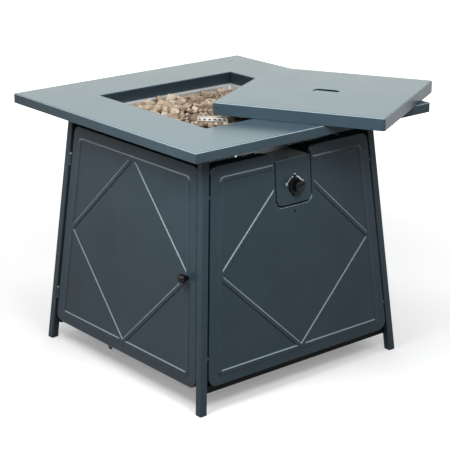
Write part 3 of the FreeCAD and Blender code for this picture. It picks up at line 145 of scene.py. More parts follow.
# How stones lie: shares of the radius that count upwards, beside the guard and against each other
STONE_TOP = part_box("lava_rocks")[1].z
STONE_PLAY = 0.5 * MM
STONE_RISE = 1.1
STONE_REACH = 0.9
STONE_PACK = 0.8
MORE_SMALL = 1.1
FAR_DIP = 7 * MM
FAR_REACH = 60 * MM

# Layers of stones: height above the well's floor, height of the crown, least and greatest radius,
# all in mm, and number of throws
UNEVEN_MM = 3
LAYERS_BELOW = [(14, 2, (11, 15), 2500), (33, 3, (10, 15), 3000)]
LAYER_ON_TOP = [(47, 12, (5.5, 16), 12000)]
# The biggest stones as they lie in the photograph: x, y, z and radius in mm
BIG_STONES = [
    (-26, 157, 608, 14), (-54, 168, 606, 12), (-100, 144, 607, 14), (5, 104, 609, 13),
    (66, 137, 607, 13), (-62, 51, 610, 14), (-86, 93, 609, 15), (-128, 110, 606, 12),
]
# Small stones along the guard's near side: place along it, radius and gap in mm
GUARD_STONES = [
    (-36, 6.5, 1), (-25, 8, 4), (-13, 6, 1), (-3, 8.5, 5),
    (9, 6.5, 2), (20, 8, 5), (31, 6, 1), (38, 8, 6),
]

# Knob, along the sloping face's outward normal: outline as radius and height in mm, flutes, bar
KNOB_V = 480.5 * MM
KNOB_GAP = 3.6 * MM
KNOB_OFF = -80
KNOB_OUTLINE = [
    (4.1, 0), (17.2, 0), (18, 0.8), (18, 4.8), (17.6, 5.6), (16.8, 6), (15.6, 6.2),
    (15.4, 7.2), (14.7, 18.2), (14.2, 19.4), (13.2, 20), (6, 20.2), (0, 20.2),
]
SKIRT_TOP = 6 * MM
FLUTES = 18
FLUTE_SHARE = 0.05
FLUTE_LOW = 6.8 * MM
FLUTE_HIGH = 19.6 * MM
BAR_L = 30 * MM
BAR_W = 7 * MM
BAR_H = 16.4 * MM
BAR_R = 1.4 * MM

# Printed dial: bands from one angle to another, words at an angle and a radius in mm
DIAL_SHIFT = 2 * MM
DIAL_R = 20.5 * MM
INK_LIFT = 0.06 * MM
THIN_BAND = 1.0 * MM
BROAD_BAND = 3.6 * MM
LOW_ARC = (156, 92)
HIGH_ARC = (82, 18)
LETTER = 6 * MM
WORDS = (("LO", 166, 24.5), ("HI", 86, 25), ("OFF", 8, 26))

# Camera, where the photograph was taken from
CAMERA_AIM = Vector((1.9, -19.2, 317.5)) * MM
CAMERA_TURN = math.radians(-39.62)
CAMERA_RISE = math.radians(18.31)
CAMERA_REACH = 3.6512
LENS = 118.7
FILM = 36.0

# White floor, and how strongly floor and studio glow
FLOOR_SIZE = 9.0
SHADOW_REACH = 0.55
WHITE_REACH = 2.8
FLOOR_GLOW = 0.26
STUDIO_LIGHT = 0.22


# Shader nodes


def linear(colour):
    """Hex sRGB to the linear values that shaders take."""
    values = [int(colour[i:i + 2], 16) / 255 for i in (1, 3, 5)]
    return [v / 12.92 if v <= 0.04045 else ((v + 0.055) / 1.055) ** 2.4 for v in values] + [1.0]


def per_metre(size_mm):
    """Texture scale that gives a pattern of this real size."""
    return 1000.0 / size_mm


def feed(tree, made, inputs):
    """Set a node's inputs to values, or link them to other nodes' sockets."""
    for name, value in inputs.items():
        if isinstance(value, bpy.types.NodeSocket):
            tree.links.new(value, made.inputs[name])
        else:
            made.inputs[name].default_value = value


def add(tree, kind, inputs=None, **settings):
    """One node with its settings, and the values or sockets that feed it."""
    made = tree.nodes.new(kind)
    for name, value in settings.items():
        setattr(made, name, value)
    feed(tree, made, inputs or {})
    return made


def cleared(owner):
    """Node tree of a material or a world, emptied."""
    owner.use_nodes = True
    owner.node_tree.nodes.clear()
    return owner.node_tree


def blank(name):
    """An empty material with a surface shader and object coordinates."""
    material = bpy.data.materials.new(name)
    tree = cleared(material)
    shader = add(tree, "ShaderNodeBsdfPrincipled")
    add(tree, "ShaderNodeOutputMaterial", {"Surface": shader.outputs["BSDF"]})
    place = add(tree, "ShaderNodeTexCoord").outputs["Object"]
    return material, tree, shader, place


def noisy(tree, place, size_mm, detail, roughness=0.5):
    """Random pattern of about 0 to 1, its spots of this real size."""
    inputs = {"Vector": place, "Scale": per_metre(size_mm), "Detail": detail, "Roughness": roughness}
    return add(tree, "ShaderNodeTexNoise", inputs).outputs["Fac"]


def stretched(tree, place, scale):
    """Coordinates that draw a pattern out into lines."""
    return add(tree, "ShaderNodeMapping", {"Vector": place, "Scale": scale}).outputs["Vector"]


def axes(tree, vector):
    """The X, Y and Z of a vector."""
    return add(tree, "ShaderNodeSeparateXYZ", {"Vector": vector}).outputs


def maths(tree, operation, *values):
    """Result of one operation on sockets or numbers."""
    return add(tree, "ShaderNodeMath", dict(enumerate(values)), operation=operation).outputs[0]


def between(tree, value, start, end):
    """How far a value has come from start to end, 0 to 1."""
    inputs = {"Value": value, "From Min": start, "From Max": end}
    return add(tree, "ShaderNodeMapRange", inputs).outputs["Result"]


def spread(tree, factor, low, high):
    """Stretch a 0 to 1 pattern between two values."""
    inputs = {"Value": factor, "To Min": low, "To Max": high}
    return add(tree, "ShaderNodeMapRange", inputs).outputs["Result"]


def blend(tree, share, first, second):
    """Mix of two patterns."""
    return add(tree, "ShaderNodeMix", {0: share, 2: first, 3: second}).outputs[0]


def tint(tree, share, under, over):
    """One colour over another by a share."""
    return add(tree, "ShaderNodeMix", {0: share, 6: under, 7: over}, data_type="RGBA").outputs[2]


def ramp(tree, factor, stops):
    """Colour ramp through hex colours at their positions."""
    made = add(tree, "ShaderNodeValToRGB", {"Fac": factor})
    elements = made.color_ramp.elements
    while len(elements) < len(stops):
        elements.new(0.5)
    for element, (position, colour) in zip(elements, stops):
        element.position = position
        element.color = linear(colour)
    return made.outputs["Color"]


def plateau(tree, factor, rise, fall, grey):
    """Grey between two positions, rising and falling softly beside them, black elsewhere."""
    stops = [(rise[0], "#000000"), (rise[1], grey), (fall[0], grey), (fall[1], "#000000")]
    return ramp(tree, factor, stops)


def bumpy(tree, height, depth_mm, strength, normal=None):
    """Surface normal with a pattern pressed into it, over another normal where one is given."""
    inputs = {"Height": height, "Distance": depth_mm * MM, "Strength": strength}
    if normal:
        inputs["Normal"] = normal
    return add(tree, "ShaderNodeBump", inputs).outputs["Normal"]


# Finishes


def sooted(tree, place, colour):
    """Smoke from the burner darkens the opening's folded edge, most of all the seams in its corners."""
    spot = axes(tree, place)
    x, y = [maths(tree, "ABSOLUTE", spot[axis]) for axis in ("X", "Y")]
    inside = maths(tree, "LESS_THAN", maths(tree, "MAXIMUM", x, y), OPEN_HALF + SOOT_OUT)
    seam = maths(tree, "GREATER_THAN", maths(tree, "MINIMUM", x, y), OPEN_HALF - SEAM)
    reach = maths(tree, "MULTIPLY", inside, between(tree, spot["Z"], SOOT_HIGH, SOOT_LOW))
    share = maths(tree, "MULTIPLY", reach, spread(tree, seam, SOOT_ON_FOLD, SOOT_IN_SEAM))
    return tint(tree, share, colour, linear("#0E0F10"))


def with_painted_light(tree, tilt, colour, painted_highlight, painted_shade):
    """Painted highlight: paint paler where a fold or bead turns upwards. Painted shade: paint darker where
    one turns down.
    """
    facing = between(tree, tilt, -1.0, 1.0)
    # Painted highlight on faces turned upwards, painted shade on faces turned down
    upwards = plateau(tree, facing, (0.6, 0.7), (0.84, 0.95), "#C8C8C8")
    downwards = plateau(tree, facing, (0.06, 0.25), (0.38, 0.49), "#F0F0F0")
    return tint(tree, downwards, tint(tree, upwards, colour, linear(painted_highlight)), linear(painted_shade))


def dusty(tree, place, tilt):
    """1 where dust lies on the panels' top flanges and takes their shine, 0 elsewhere."""
    high = maths(tree, "COMPARE", axes(tree, place)["Z"], PANEL_TOP, DUST_REACH)
    return maths(tree, "MULTIPLY", high, maths(tree, "GREATER_THAN", tilt, DUST_LEVEL))


def orange_peel(tree, place, normal):
    """Slack waves of the sheet with the paint's fine skin over them."""
    slack = bumpy(tree, noisy(tree, place, 160, 1), 0.9, 0.5, normal)
    # Orange peel is about 1 mm wide, drawn at 2.2 mm so that it shows
    return bumpy(tree, noisy(tree, place, 2.2, 1), 0.02, 0.4, slack)


def powder_coat(name, dark, light, painted_highlight, painted_shade, roughness, gloss, edge_mm):
    """Satin powder coat on sheet steel, with soft clouding and rounded edges."""
    material, tree, shader, place = blank(name)
    clouds = noisy(tree, place, 110, 3)
    grain = noisy(tree, place, 1.6, 2)
    colour = ramp(tree, blend(tree, 0.4, clouds, grain), [(0.3, dark), (0.7, light)])
    edge = add(tree, "ShaderNodeBevel", {"Radius": edge_mm * MM}, samples=4).outputs["Normal"]
    tilt = axes(tree, edge)["Z"]
    # The base colour carries painted highlights and painted shade on folds and beads
    feed(tree, shader, {
        "Base Color": sooted(tree, place, with_painted_light(tree, tilt, colour, painted_highlight, painted_shade)),
        "Roughness": spread(tree, clouds, roughness - 0.04, roughness + 0.04),
        "Specular IOR Level": spread(tree, dusty(tree, place, tilt), gloss, 0.0),
        "Normal": orange_peel(tree, place, edge),
    })
    return material


def zinc_plate():
    """Bright zinc plating: bluish grey with small spangles, a little uneven."""
    material, tree, shader, place = blank("bright_zinc_plate")
    spangle = add(tree, "ShaderNodeTexVoronoi", {"Vector": place, "Scale": per_metre(5)}).outputs["Color"]
    blotch = noisy(tree, place, 14, 3)
    feed(tree, shader, {
        "Base Color": ramp(tree, blend(tree, 0.5, spangle, blotch), [(0.2, "#9EA2A4"), (0.8, "#C6C9C8")]),
        "Metallic": 1.0,
        "Roughness": spread(tree, blotch, 0.28, 0.45),
    })
    return material


def brushed_stainless(name, smoky, clean):
    """Stainless sheet brushed along X, dulled in patches by the burner's smoke."""
    material, tree, shader, place = blank(name)
    # Brushed lines are 0.1 mm wide, drawn at 1 mm so that they show
    lines = noisy(tree, stretched(tree, place, (0.03, 1.0, 1.0)), 1.0, 3)
    smoke = noisy(tree, place, 60, 3)
    feed(tree, shader, {
        "Base Color": ramp(tree, smoke, [(0.25, smoky), (0.6, clean)]),
        "Metallic": 1.0,
        "Roughness": spread(tree, lines, 0.42, 0.6),
        "Normal": bumpy(tree, lines, 0.02, 0.6),
    })
    return material


def drawn_aluminium():
    """Drawn aluminium tube: pale, soft shine, fine lines along it."""
    material, tree, shader, place = blank("drawn_aluminium_tube")
    lines = noisy(tree, stretched(tree, place, (1.0, 0.05, 1.0)), 0.8, 2)
    feed(tree, shader, {
        "Base Color": ramp(tree, lines, [(0.3, "#B4B7B9"), (0.7, "#D3D5D6")]),
        "Metallic": 1.0,
        "Roughness": spread(tree, lines, 0.3, 0.42),
    })
    return material


def die_cast():
    """Die-cast aluminium: dull, slightly pitted skin."""
    material, tree, shader, place = blank("die_cast_aluminium")
    pits = noisy(tree, place, 1.4, 4)
    feed(tree, shader, {
        "Base Color": ramp(tree, pits, [(0.3, "#84878A"), (0.7, "#A9ACAE")]),
        "Metallic": 1.0,
        "Roughness": spread(tree, pits, 0.45, 0.65),
        "Normal": bumpy(tree, pits, 0.1, 0.5),
    })
    return material


def turned_brass():
    """Turned brass: warm, with some tarnish."""
    material, tree, shader, place = blank("turned_brass")
    tarnish = noisy(tree, place, 7, 4)
    feed(tree, shader, {
        "Base Color": ramp(tree, tarnish, [(0.3, "#8F6F35"), (0.65, "#D1AA5E")]),
        "Metallic": 1.0,
        "Roughness": spread(tree, tarnish, 0.22, 0.4),
    })
    return material


def phenolic():
    """Black moulded phenolic: smooth, with a slightly uneven polish."""
    material, tree, shader, place = blank("black_phenolic_moulding")
    haze = noisy(tree, place, 9, 3)
    feed(tree, shader, {
        "Base Color": ramp(tree, haze, [(0.3, "#050506"), (0.7, "#090A0B")]),
        "Roughness": spread(tree, haze, 0.3, 0.42),
        "Specular IOR Level": 0.2,
    })
    return material


def black_nylon():
    """Black moulded nylon: matt, with a fine spark-eroded grain."""
    material, tree, shader, place = blank("black_nylon_moulding")
    grain = noisy(tree, place, 0.8, 2)
    feed(tree, shader, {
        "Base Color": ramp(tree, grain, [(0.3, "#121314"), (0.7, "#1E1F21")]),
        "Roughness": 0.55,
        "Normal": bumpy(tree, grain, 0.05, 0.5),
    })
    return material


def glazed_ceramic():
    """White glazed alumina with a trace of soot."""
    material, tree, shader, place = blank("glazed_alumina")
    soot = noisy(tree, place, 18, 4)
    feed(tree, shader, {
        "Base Color": ramp(tree, soot, [(0.3, "#B9B2A6"), (0.5, "#EFECE4")]),
        "Roughness": 0.18,
    })
    return material


def lava_stone():
    """Tan lava stone: dry, chalky and full of pores, each lump of its own tone."""
    material, tree, shader, place = blank("porous_lava_stone")
    # The tone attribute holds each lump's own tone together with the painted shade on its underside
    tone = add(tree, "ShaderNodeAttribute", attribute_name="tone").outputs["Fac"]
    both = blend(tree, 0.45, tone, noisy(tree, place, 7, 6, 0.65))
    body = ramp(tree, both, [(0.1, "#362C24"), (0.3, "#706051"), (0.55, "#988876"), (0.85, "#BCB0A0")])
    # Pores: painted shade darkens their insides, and the bump presses them in
    pores = add(tree, "ShaderNodeTexVoronoi", {"Vector": place, "Scale": per_metre(3.2)}).outputs["Distance"]
    pits = between(tree, pores, 0.12, 0.42)
    lumps = bumpy(tree, noisy(tree, place, 4.5, 8, 0.7), 2.2, 0.9)
    feed(tree, shader, {
        "Base Color": tint(tree, spread(tree, pits, 0.75, 0.0), body, linear("#30271F")),
        "Roughness": 0.95,
        "Specular IOR Level": 0.2,
        "Normal": bumpy(tree, pits, 1.2, 0.8, lumps),
    })
    return material


def white_print():
    """Screen-printed white ink, thin enough to let a little of the paint through."""
    material, tree, shader, place = blank("white_screen_print")
    ink = noisy(tree, place, 1.2, 3)
    feed(tree, shader, {
        "Base Color": ramp(tree, ink, [(0.3, "#C9CED0"), (0.6, "#F0F2F2")]),
        "Roughness": 0.5,
    })
    return material


# Each coat's paler colour is a painted highlight where folds and beads turn up, its darker one a painted
# shade where they turn down
SLATE = powder_coat("slate_powder_coat", dark="#2D3C46", light="#36464F", painted_highlight="#A6B8C0", painted_shade="#0E161B",
                    roughness=0.26, gloss=0.12, edge_mm=1.2)
BLACK = powder_coat("black_powder_coat", dark="#0D0F10", light="#141617", painted_highlight="#26292B", painted_shade="#0A0B0C",
                    roughness=0.5, gloss=0.06, edge_mm=0.6)
FINISHES = {
    "slate_paint": SLATE,
    "black_paint": BLACK,
    "zinc_steel": zinc_plate(),
    "stainless": brushed_stainless("brushed_stainless_sheet", smoky="#C6C8C8", clean="#E2E4E4"),
    "aluminium_tube": drawn_aluminium(),
    "cast_aluminium": die_cast(),
    "brass_metal": turned_brass(),
    "gloss_black": phenolic(),
    "black_plastic": black_nylon(),
    "white_ceramic": glazed_ceramic(),
    "lava_stone": lava_stone(),
}
# The guard stands in the flame, which tints it brown and takes its shine
FLAMED = brushed_stainless("flame_dulled_stainless", smoky="#8C8780", clean="#AAA59D")
INK = white_print()


def dress_nodes():
    """Give every solid its finish."""
    for part in frame["record"]["subparts"]:
        mesh = frame["nodes"][part["node"]].data
        mesh.materials.clear()
        mesh.materials.append(FINISHES[part["material_slot"]])


# Meshes


def in_scene(name, data):
    """An object with this data, linked to the scene."""
    made = bpy.data.objects.new(name, data)
    bpy.context.scene.collection.objects.link(made)
    return made


def piece(name, bm, finish, body, node=None, smooth=35):
    """Turn a finished bmesh into a piece that rides on a body."""
    mesh = bpy.data.meshes.new(name)
    bm.to_mesh(mesh)
    bm.free()
    mesh.shade_smooth()
    mesh.set_sharp_from_angle(angle=math.radians(smooth))
    mesh.materials.append(finish)
    made = in_scene(name, mesh)
    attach(made, body)
    if node:
        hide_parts(node)
    return made


def thicken(made, thickness):
    """Give a skin its sheet's thickness, inwards."""
    sheet = made.modifiers.new("sheet", "SOLIDIFY")
    sheet.thickness = thickness
    sheet.offset = -1.0


def face_up(bm):
    """Turn all faces one way, so that more of them look up than down."""
    bmesh.ops.recalc_face_normals(bm, faces=bm.faces)
    if sum(f.normal.z * f.calc_area() for f in bm.faces) < 0:
        bmesh.ops.reverse_faces(bm, faces=bm.faces)


def points_of(grown):
    """The points in what an operator made."""
    return [g for g in grown if isinstance(g, bmesh.types.BMVert)]


def round_off(bm, geom, size, segments, affect="EDGES"):
    """Round edges, or corner points."""
    bmesh.ops.bevel(bm, geom=geom, offset=size, segments=segments, profile=0.5, material=-1, affect=affect)


def join(bm, other):
    """Add another bmesh's mesh to this one."""
    mesh = bpy.data.meshes.new("joined")
    other.to_mesh(mesh)
    other.free()
    bm.from_mesh(mesh)
    bpy.data.meshes.remove(mesh)


def smoothstep(t):
    """Soft step from 0 to 1."""
    t = min(max(t, 0), 1)
    return t * t * (3 - 2 * t)


# Sloping sides


def face_place(side, out=0.0):
    """From a sloping side's own axes (across, up, outwards) to the table's."""
    c = math.cos(TILT)
    s = math.sin(TILT)
    slope = Matrix(((1, 0, 0, 0), (0, s, -c, -FOOT_HALF), (0, c, s, 0), (0, 0, 0, 1)))
    turn = Matrix.Rotation(math.radians(SIDES[side]), 4, "Z")
    return turn @ slope @ Matrix.Translation((0, 0, out))


def up(z):
    """Height above the floor as a distance up the sloping side."""
    return z / math.cos(TILT)


def side_line(z, gap):
    """Distance from the middle to a panel's side edge at a height."""
    return FOOT_HALF - SLOPE * z - TUBE - gap


def corners_of(low, high, left_gap, right_gap, inset=0.0):
    """Corners of a panel, or of its band, from low left anticlockwise."""
    return [
        Vector((inset - side_line(low, left_gap), up(low))),
        Vector((side_line(low, right_gap) - inset, up(low))),
        Vector((side_line(high, right_gap) - inset, up(high))),
        Vector((inset - side_line(high, left_gap), up(high))),
    ]


def band_corners(bottom, left_gap, right_gap):
    """Where the straight lines of a panel's band would cross."""
    return corners_of(bottom + BAND_BOTTOM, PANEL_TOP - BAND_TOP, left_gap, right_gap, BAND_SIDE)


def corner_arms(corners, i):
    """Directions from a corner to its neighbours, and half the angle between them."""
    before = (corners[i - 1] - corners[i]).normalized()
    after = (corners[(i + 1) % len(corners)] - corners[i]).normalized()
    return before, after, before.angle(after) / 2


# Pressed panels


def rounded_face(corners, radii):
    """Flat face with each corner rounded."""
    bm = bmesh.new()
    made = [bm.verts.new((c.x, c.y, 0)) for c in corners]
    bm.faces.new(made)
    for i, vert in enumerate(made):
        reach = radii[i] / math.tan(corner_arms(corners, i)[2])
        round_off(bm, [vert], reach, 8, "VERTICES")
    return bm


def fold_back(bm, depth):
    """Turn the outline's edge back with a small radius."""
    edge = [e for e in bm.edges if e.is_boundary]
    grown = bmesh.ops.extrude_edge_only(bm, edges=edge)["geom"]
    bmesh.ops.translate(bm, verts=points_of(grown), vec=(0, 0, -depth))
    round_off(bm, edge, FOLD_R, 3)


def cut_across(bm, point, across, offsets):
    """Cut the sheet along parallel lines."""
    for offset in offsets:
        place = point + across * offset
        every = bm.verts[:] + bm.edges[:] + bm.faces[:]
        bmesh.ops.bisect_plane(bm, geom=every, dist=LEVEL, plane_co=place.to_3d(), plane_no=across.to_3d())


def to_segment(p, a, b):
    """Distance from a point to a straight bead's middle line."""
    run = b - a
    t = min(max((p - a).dot(run) / run.length_squared, 0), 1)
    return (p - a - run * t).length


def to_band(p, core):
    """Distance to the band's middle line, which runs a bead's radius round its core."""
    reach = min(to_segment(p, core[i - 1], core[i]) for i in range(4))
    inside = all((core[i] - core[i - 1]).cross(p - core[i - 1]) > 0 for i in range(4))
    return abs((-reach if inside else reach) - BEAD_R)


def press_beads(bm, corners, fade):
    """Press the band round the panel and the diamond that joins its mid-sides."""
    count = len(corners)
    sides = [(corners[i - 1], corners[i]) for i in range(count)]
    mids = [(a + b) / 2 for a, b in sides]
    diamond = [(mids[i - 1], mids[i]) for i in range(count)]
    step = (BEAD_HALF - BEAD_FLAT) / BEAD_STEPS
    reach = [BEAD_FLAT + step * k for k in range(BEAD_STEPS + 1)]
    offsets = [-r for r in reach] + [0.0] + reach
    for a, b in sides + diamond:
        along = (b - a).normalized()
        cut_across(bm, a, Vector((-along.y, along.x)), offsets)
    core = []
    for i in range(count):
        before, after, half = corner_arms(corners, i)
        core.append(corners[i] + (before + after).normalized() * (BEAD_R / math.sin(half)))
    for vert in bm.verts:
        if abs(vert.co.z) < LEVEL:
            p = vert.co.xy
            near = min([to_band(p, core)] + [to_segment(p, a, b) for a, b in diamond])
            vert.co.z = BEAD_H * smoothstep((BEAD_HALF - near) / (BEAD_HALF - BEAD_FLAT)) * fade(p)


def even(p):
    """Beads at their full height all over."""
    return 1.0


def beside_notch(p):
    """Beads run out before they reach the cut-out for the control box."""
    out = Vector((max(abs(p.x) - NOTCH_HALF, 0), max(up(NOTCH_Z) - p.y, 0))).length
    return smoothstep((out - NOTCH_CLEAR) / (2 * NOTCH_CLEAR))


def pierce(bm, face, radius):
    """Round hole in a square face."""
    bmesh.ops.subdivide_edges(bm, edges=face.edges[:], cuts=3)
    middle = face.calc_center_bounds()
    bmesh.ops.inset_individual(bm, faces=[face], thickness=radius / 3)
    for vert in face.verts:
        vert.co = middle + (vert.co - middle).normalized() * radius
    bmesh.ops.delete(bm, geom=[face], context="FACES")


def finish_panel(bm, side, name, body, node, out=0.0):
    """Stand a pressed sheet in its side and give it its thickness."""
    face_up(bm)
    bmesh.ops.triangulate(bm, faces=[f for f in bm.faces if len(f.verts) > 4])
    bm.transform(face_place(side, out))
    made = piece(name, bm, SLATE, body, node)
    thicken(made, PANEL_SHEET)
    # Flat areas keep their own normals beside the small radii
    made.modifiers.new("flats", "WEIGHTED_NORMAL").keep_sharp = True


def plain_panel(side, name, body, node, bottom, gaps, out=0.0):
    """Pressed sheet panel with all its edges folded back."""
    bm = rounded_face(corners_of(bottom, PANEL_TOP, *gaps), [PANEL_R] * 4)
    fold_back(bm, PANEL_D)
    press_beads(bm, band_corners(bottom, *gaps), even)
    finish_panel(bm, side, name, body, node, out)


def control_side_panel():
    """Panel with the cut-out, and deeper flanges on its two shoulders."""
    gaps = (PANEL_GAP, PANEL_GAP)
    p = corners_of(PANEL_BOTTOM, PANEL_TOP, *gaps)
    top = up(PANEL_TOP)
    low = up(NOTCH_Z)
    half = NOTCH_HALF
    notch = [Vector(c) for c in ((half, top), (half, low), (-half, low), (-half, top))]
    radii = [PANEL_R, PANEL_R, PANEL_R, SHOULDER_R, NOTCH_R, NOTCH_R, SHOULDER_R, PANEL_R]
    bm = rounded_face([p[0], p[1], p[2]] + notch + [p[3]], radii)
    fold_back(bm, PANEL_D)
    rim = [e for e in bm.edges if e.is_boundary and min(v.co.y for v in e.verts) > top - SHOULDER_EDGE]
    grown = bmesh.ops.extrude_edge_only(bm, edges=rim)["geom"]
    bmesh.ops.translate(bm, verts=points_of(grown), vec=(0, 0, PANEL_D - SHOULDER_FLANGE))
    # Lines beside the cut-out for the stretch in which the beads run out
    reach = [NOTCH_CLEAR * k / 2 for k in range(2, 7)]
    cut_across(bm, Vector((half, 0)), Vector((1, 0)), reach)
    cut_across(bm, Vector((-half, 0)), Vector((-1, 0)), reach)
    cut_across(bm, Vector((0, low)), Vector((0, -1)), reach)
    press_beads(bm, band_corners(PANEL_BOTTOM, *gaps), beside_notch)
    hole = Vector((0, up(HOLE_Z)))
    for across in (Vector((1, 0)), Vector((0, 1))):
        cut_across(bm, hole, across, (-2 * HOLE_R, 2 * HOLE_R))
    pierce(bm, min(bm.faces, key=lambda f: (f.calc_center_median() - hole.to_3d()).length), HOLE_R)
    finish_panel(bm, "front", "control_side_panel", "frame", "front_panel")


# Pilot guard and stones


def pilot_guard():
    """Bent stainless cover whose sloping near face has a row of round holes."""
    bm = bmesh.new()
    low = WELL_FLOOR
    high = GUARD_HIGH.z
    deep = GUARD_D / 2
    line = [(-deep, low), (-deep, high - GUARD_SLOPE), (GUARD_SLOPE - deep, high), (deep, high), (deep, low)]
    section = [bm.verts.new((-GUARD_L / 2, y, z)) for y, z in line]
    edges = [bm.edges.new(pair) for pair in zip(section, section[1:])]
    for _ in range(GUARD_CELLS):
        grown = bmesh.ops.extrude_edge_only(bm, edges=edges)["geom"]
        section = points_of(grown)
        edges = [g for g in grown if isinstance(g, bmesh.types.BMEdge) and set(g.verts) <= set(section)]
        bmesh.ops.translate(bm, verts=section, vec=(GUARD_L / GUARD_CELLS, 0, 0))
    end = GUARD_L / 2 - MERGE
    for way in (-1, 1):
        rim = [e for e in bm.edges if e.is_boundary and all(v.co.x * way > end for v in e.verts)]
        bmesh.ops.edgeloop_fill(bm, edges=rim)
    face_up(bm)
    for face in [f for f in bm.faces if f.normal.z > SLOPING and f.normal.y < -SLOPING]:
        pierce(bm, face, GUARD_HOLE_R)
    turn = Matrix.Rotation(math.radians(GUARD_TURN), 4, "Z")
    bm.transform(Matrix.Translation((GUARD_MIDDLE.x, GUARD_MIDDLE.y, 0)) @ turn)
    made = piece("pierced_guard", bm, FLAMED, "frame", "pilot_guard")
    thicken(made, GUARD_SHEET)


def meets_guard(p, radius):
    """True where a stone would meet the pilot guard, which lies across the table's diagonal."""
    x = p.x - GUARD_MIDDLE.x
    y = p.y - GUARD_MIDDLE.y
    along = (x - y) / math.sqrt(2)
    across = (x + y) / math.sqrt(2)
    room = radius * STONE_REACH
    return abs(along) < GUARD_ROOM / 2 + room and abs(across) < GUARD_D / 2 + room


def beside_guard():
    """Small stones that lie against the guard's near side: x, y, z and radius in mm."""
    row = []
    for along, radius, gap in GUARD_STONES:
        near = GUARD_D / 2 + (radius + gap) * MM
        x = GUARD_MIDDLE.x + (along * MM - near) / math.sqrt(2)
        y = GUARD_MIDDLE.y - (along * MM + near) / math.sqrt(2)
        row.append((x / MM, y / MM, (GUARD_HIGH.z - GUARD_SLOPE) / MM - radius + 1, radius))
    return row


def stone(bm, place, radius, rng, tone, rounds):
    """One rough lump: a coarse ball pulled out of round, with painted shade that darkens it below, where its
    neighbours would shade it.
    """
    made = bmesh.ops.create_icosphere(bm, subdivisions=rounds, radius=radius)["verts"]
    stretch = Vector([rng.uniform(*limits) for limits in STRETCH])
    seed = Vector([rng.uniform(0, SEED_RANGE) for _ in range(3)])
    spin = Matrix.Rotation(rng.uniform(0, FULL_TURN), 3, "Z")
    turn = spin @ Matrix.Rotation(rng.uniform(0, FULL_TURN), 3, "X")
    layer = bm.verts.layers.float["tone"]
    wall = WELL_HALF - STONE_PLAY
    for vert in made:
        direction = vert.co.normalized()
        bulge = 1.0
        for share, rate in SWELLS:
            bulge += share * noise.noise(direction * rate + seed)
        shaped = turn @ Vector([a * b for a, b in zip(vert.co * bulge, stretch)])
        p = shaped + place
        # Nothing reaches through the pan it lies in
        vert.co = (min(max(p.x, -wall), wall), min(max(p.y, -wall), wall), max(p.z, WELL_FLOOR + STONE_PLAY))
        # Painted shade: darker towards the lump's underside
        lit = smoothstep(0.5 + TONE_RATE * shaped.z / radius)
        vert[layer] = tone * (UNDERSIDE_PAINTED_SHADE + (1 - UNDERSIDE_PAINTED_SHADE) * lit)


def heap(rng, level, crown, sizes, throws, placed):
    """Stones of one layer, thrown at random round the placed ones and kept where there is room."""
    kept = [(Vector(p) * MM, radius * MM) for *p, radius in placed]
    least, greatest = sizes
    for _ in range(throws):
        radius = (least + (greatest - least) * rng.random() ** MORE_SMALL) * MM
        half = WELL_HALF - radius
        x = rng.uniform(-half, half)
        y = rng.uniform(-half, half)
        rise = crown * (1 - (x * x + y * y) / (2 * WELL_HALF * WELL_HALF))
        # The heap falls away towards the two far walls, where the pan's ledge shows
        rise -= FAR_DIP * smoothstep((max(x, y) - WELL_HALF + FAR_REACH) / FAR_REACH)
        p = Vector((x, y, level + rise + rng.uniform(-UNEVEN_MM, UNEVEN_MM) * MM))
        if meets_guard(p, radius) or p.z + STONE_RISE * radius > STONE_TOP:
            continue
        if all(math.hypot(x - q.x, y - q.y) > STONE_PACK * (radius + r) for q, r in kept):
            kept.append((p, radius))
    return kept


def stones(name, layers, rounds, seed, placed=()):
    """Layers of stones as one piece."""
    rng = random.Random(seed)
    bm = bmesh.new()
    bm.verts.layers.float.new("tone")
    for level, crown, sizes, throws in layers:
        for place, radius in heap(rng, WELL_FLOOR + level * MM, crown * MM, sizes, throws, placed):
            stone(bm, place, radius, rng, rng.uniform(*TONES), rounds)
    piece(name, bm, FINISHES["lava_stone"], "frame", "lava_rocks", smooth=45)


# Knob and dial


def lathe(outline, steps):
    """Solid of revolution about +Z from (radius, height) points in mm."""
    bm = bmesh.new()
    made = [bm.verts.new((r * MM, 0, z * MM)) for r, z in outline]
    edges = [bm.edges.new(pair) for pair in zip(made, made[1:])]
    bmesh.ops.spin(bm, geom=made + edges, cent=(0, 0, 0), axis=(0, 0, 1), angle=2 * math.pi, steps=steps,
                   use_merge=True, use_normal_flip=False, use_duplicate=False)
    bmesh.ops.remove_doubles(bm, verts=bm.verts, dist=MERGE)
    bmesh.ops.recalc_face_normals(bm, faces=bm.faces)
    return bm


def rounded_bar(length, width, height, radius):
    """Block standing on the origin with its upper and upright edges rounded."""
    bm = bmesh.new()
    bmesh.ops.create_cube(bm, size=1.0)
    bmesh.ops.scale(bm, vec=(width, length, height), verts=bm.verts)
    bmesh.ops.translate(bm, vec=(0, 0, height / 2), verts=bm.verts)
    round_off(bm, [e for e in bm.edges if max(v.co.z for v in e.verts) > height / 2], radius, 4)
    return bm


def control_knob():
    """Moulded knob: round skirt, fluted grip and a raised bar across it."""
    bm = lathe(KNOB_OUTLINE, steps=96)
    for vert in bm.verts:
        if FLUTE_LOW < vert.co.z < FLUTE_HIGH:
            angle = math.atan2(vert.co.y, vert.co.x)
            vert.co.xy *= 1 - FLUTE_SHARE * (0.5 + 0.5 * math.cos(FLUTES * angle))
    bar = rounded_bar(BAR_L, BAR_W, BAR_H, BAR_R)
    bmesh.ops.translate(bar, vec=(0, 0, SKIRT_TOP), verts=bar.verts)
    join(bm, bar)
    turn = Matrix.Rotation(math.radians(KNOB_OFF), 4, "Z")
    bm.transform(face_place("front", KNOB_GAP) @ Matrix.Translation((0, KNOB_V, 0)) @ turn)
    piece("moulded_knob", bm, FINISHES["gloss_black"], "control_knob", "control_knob")


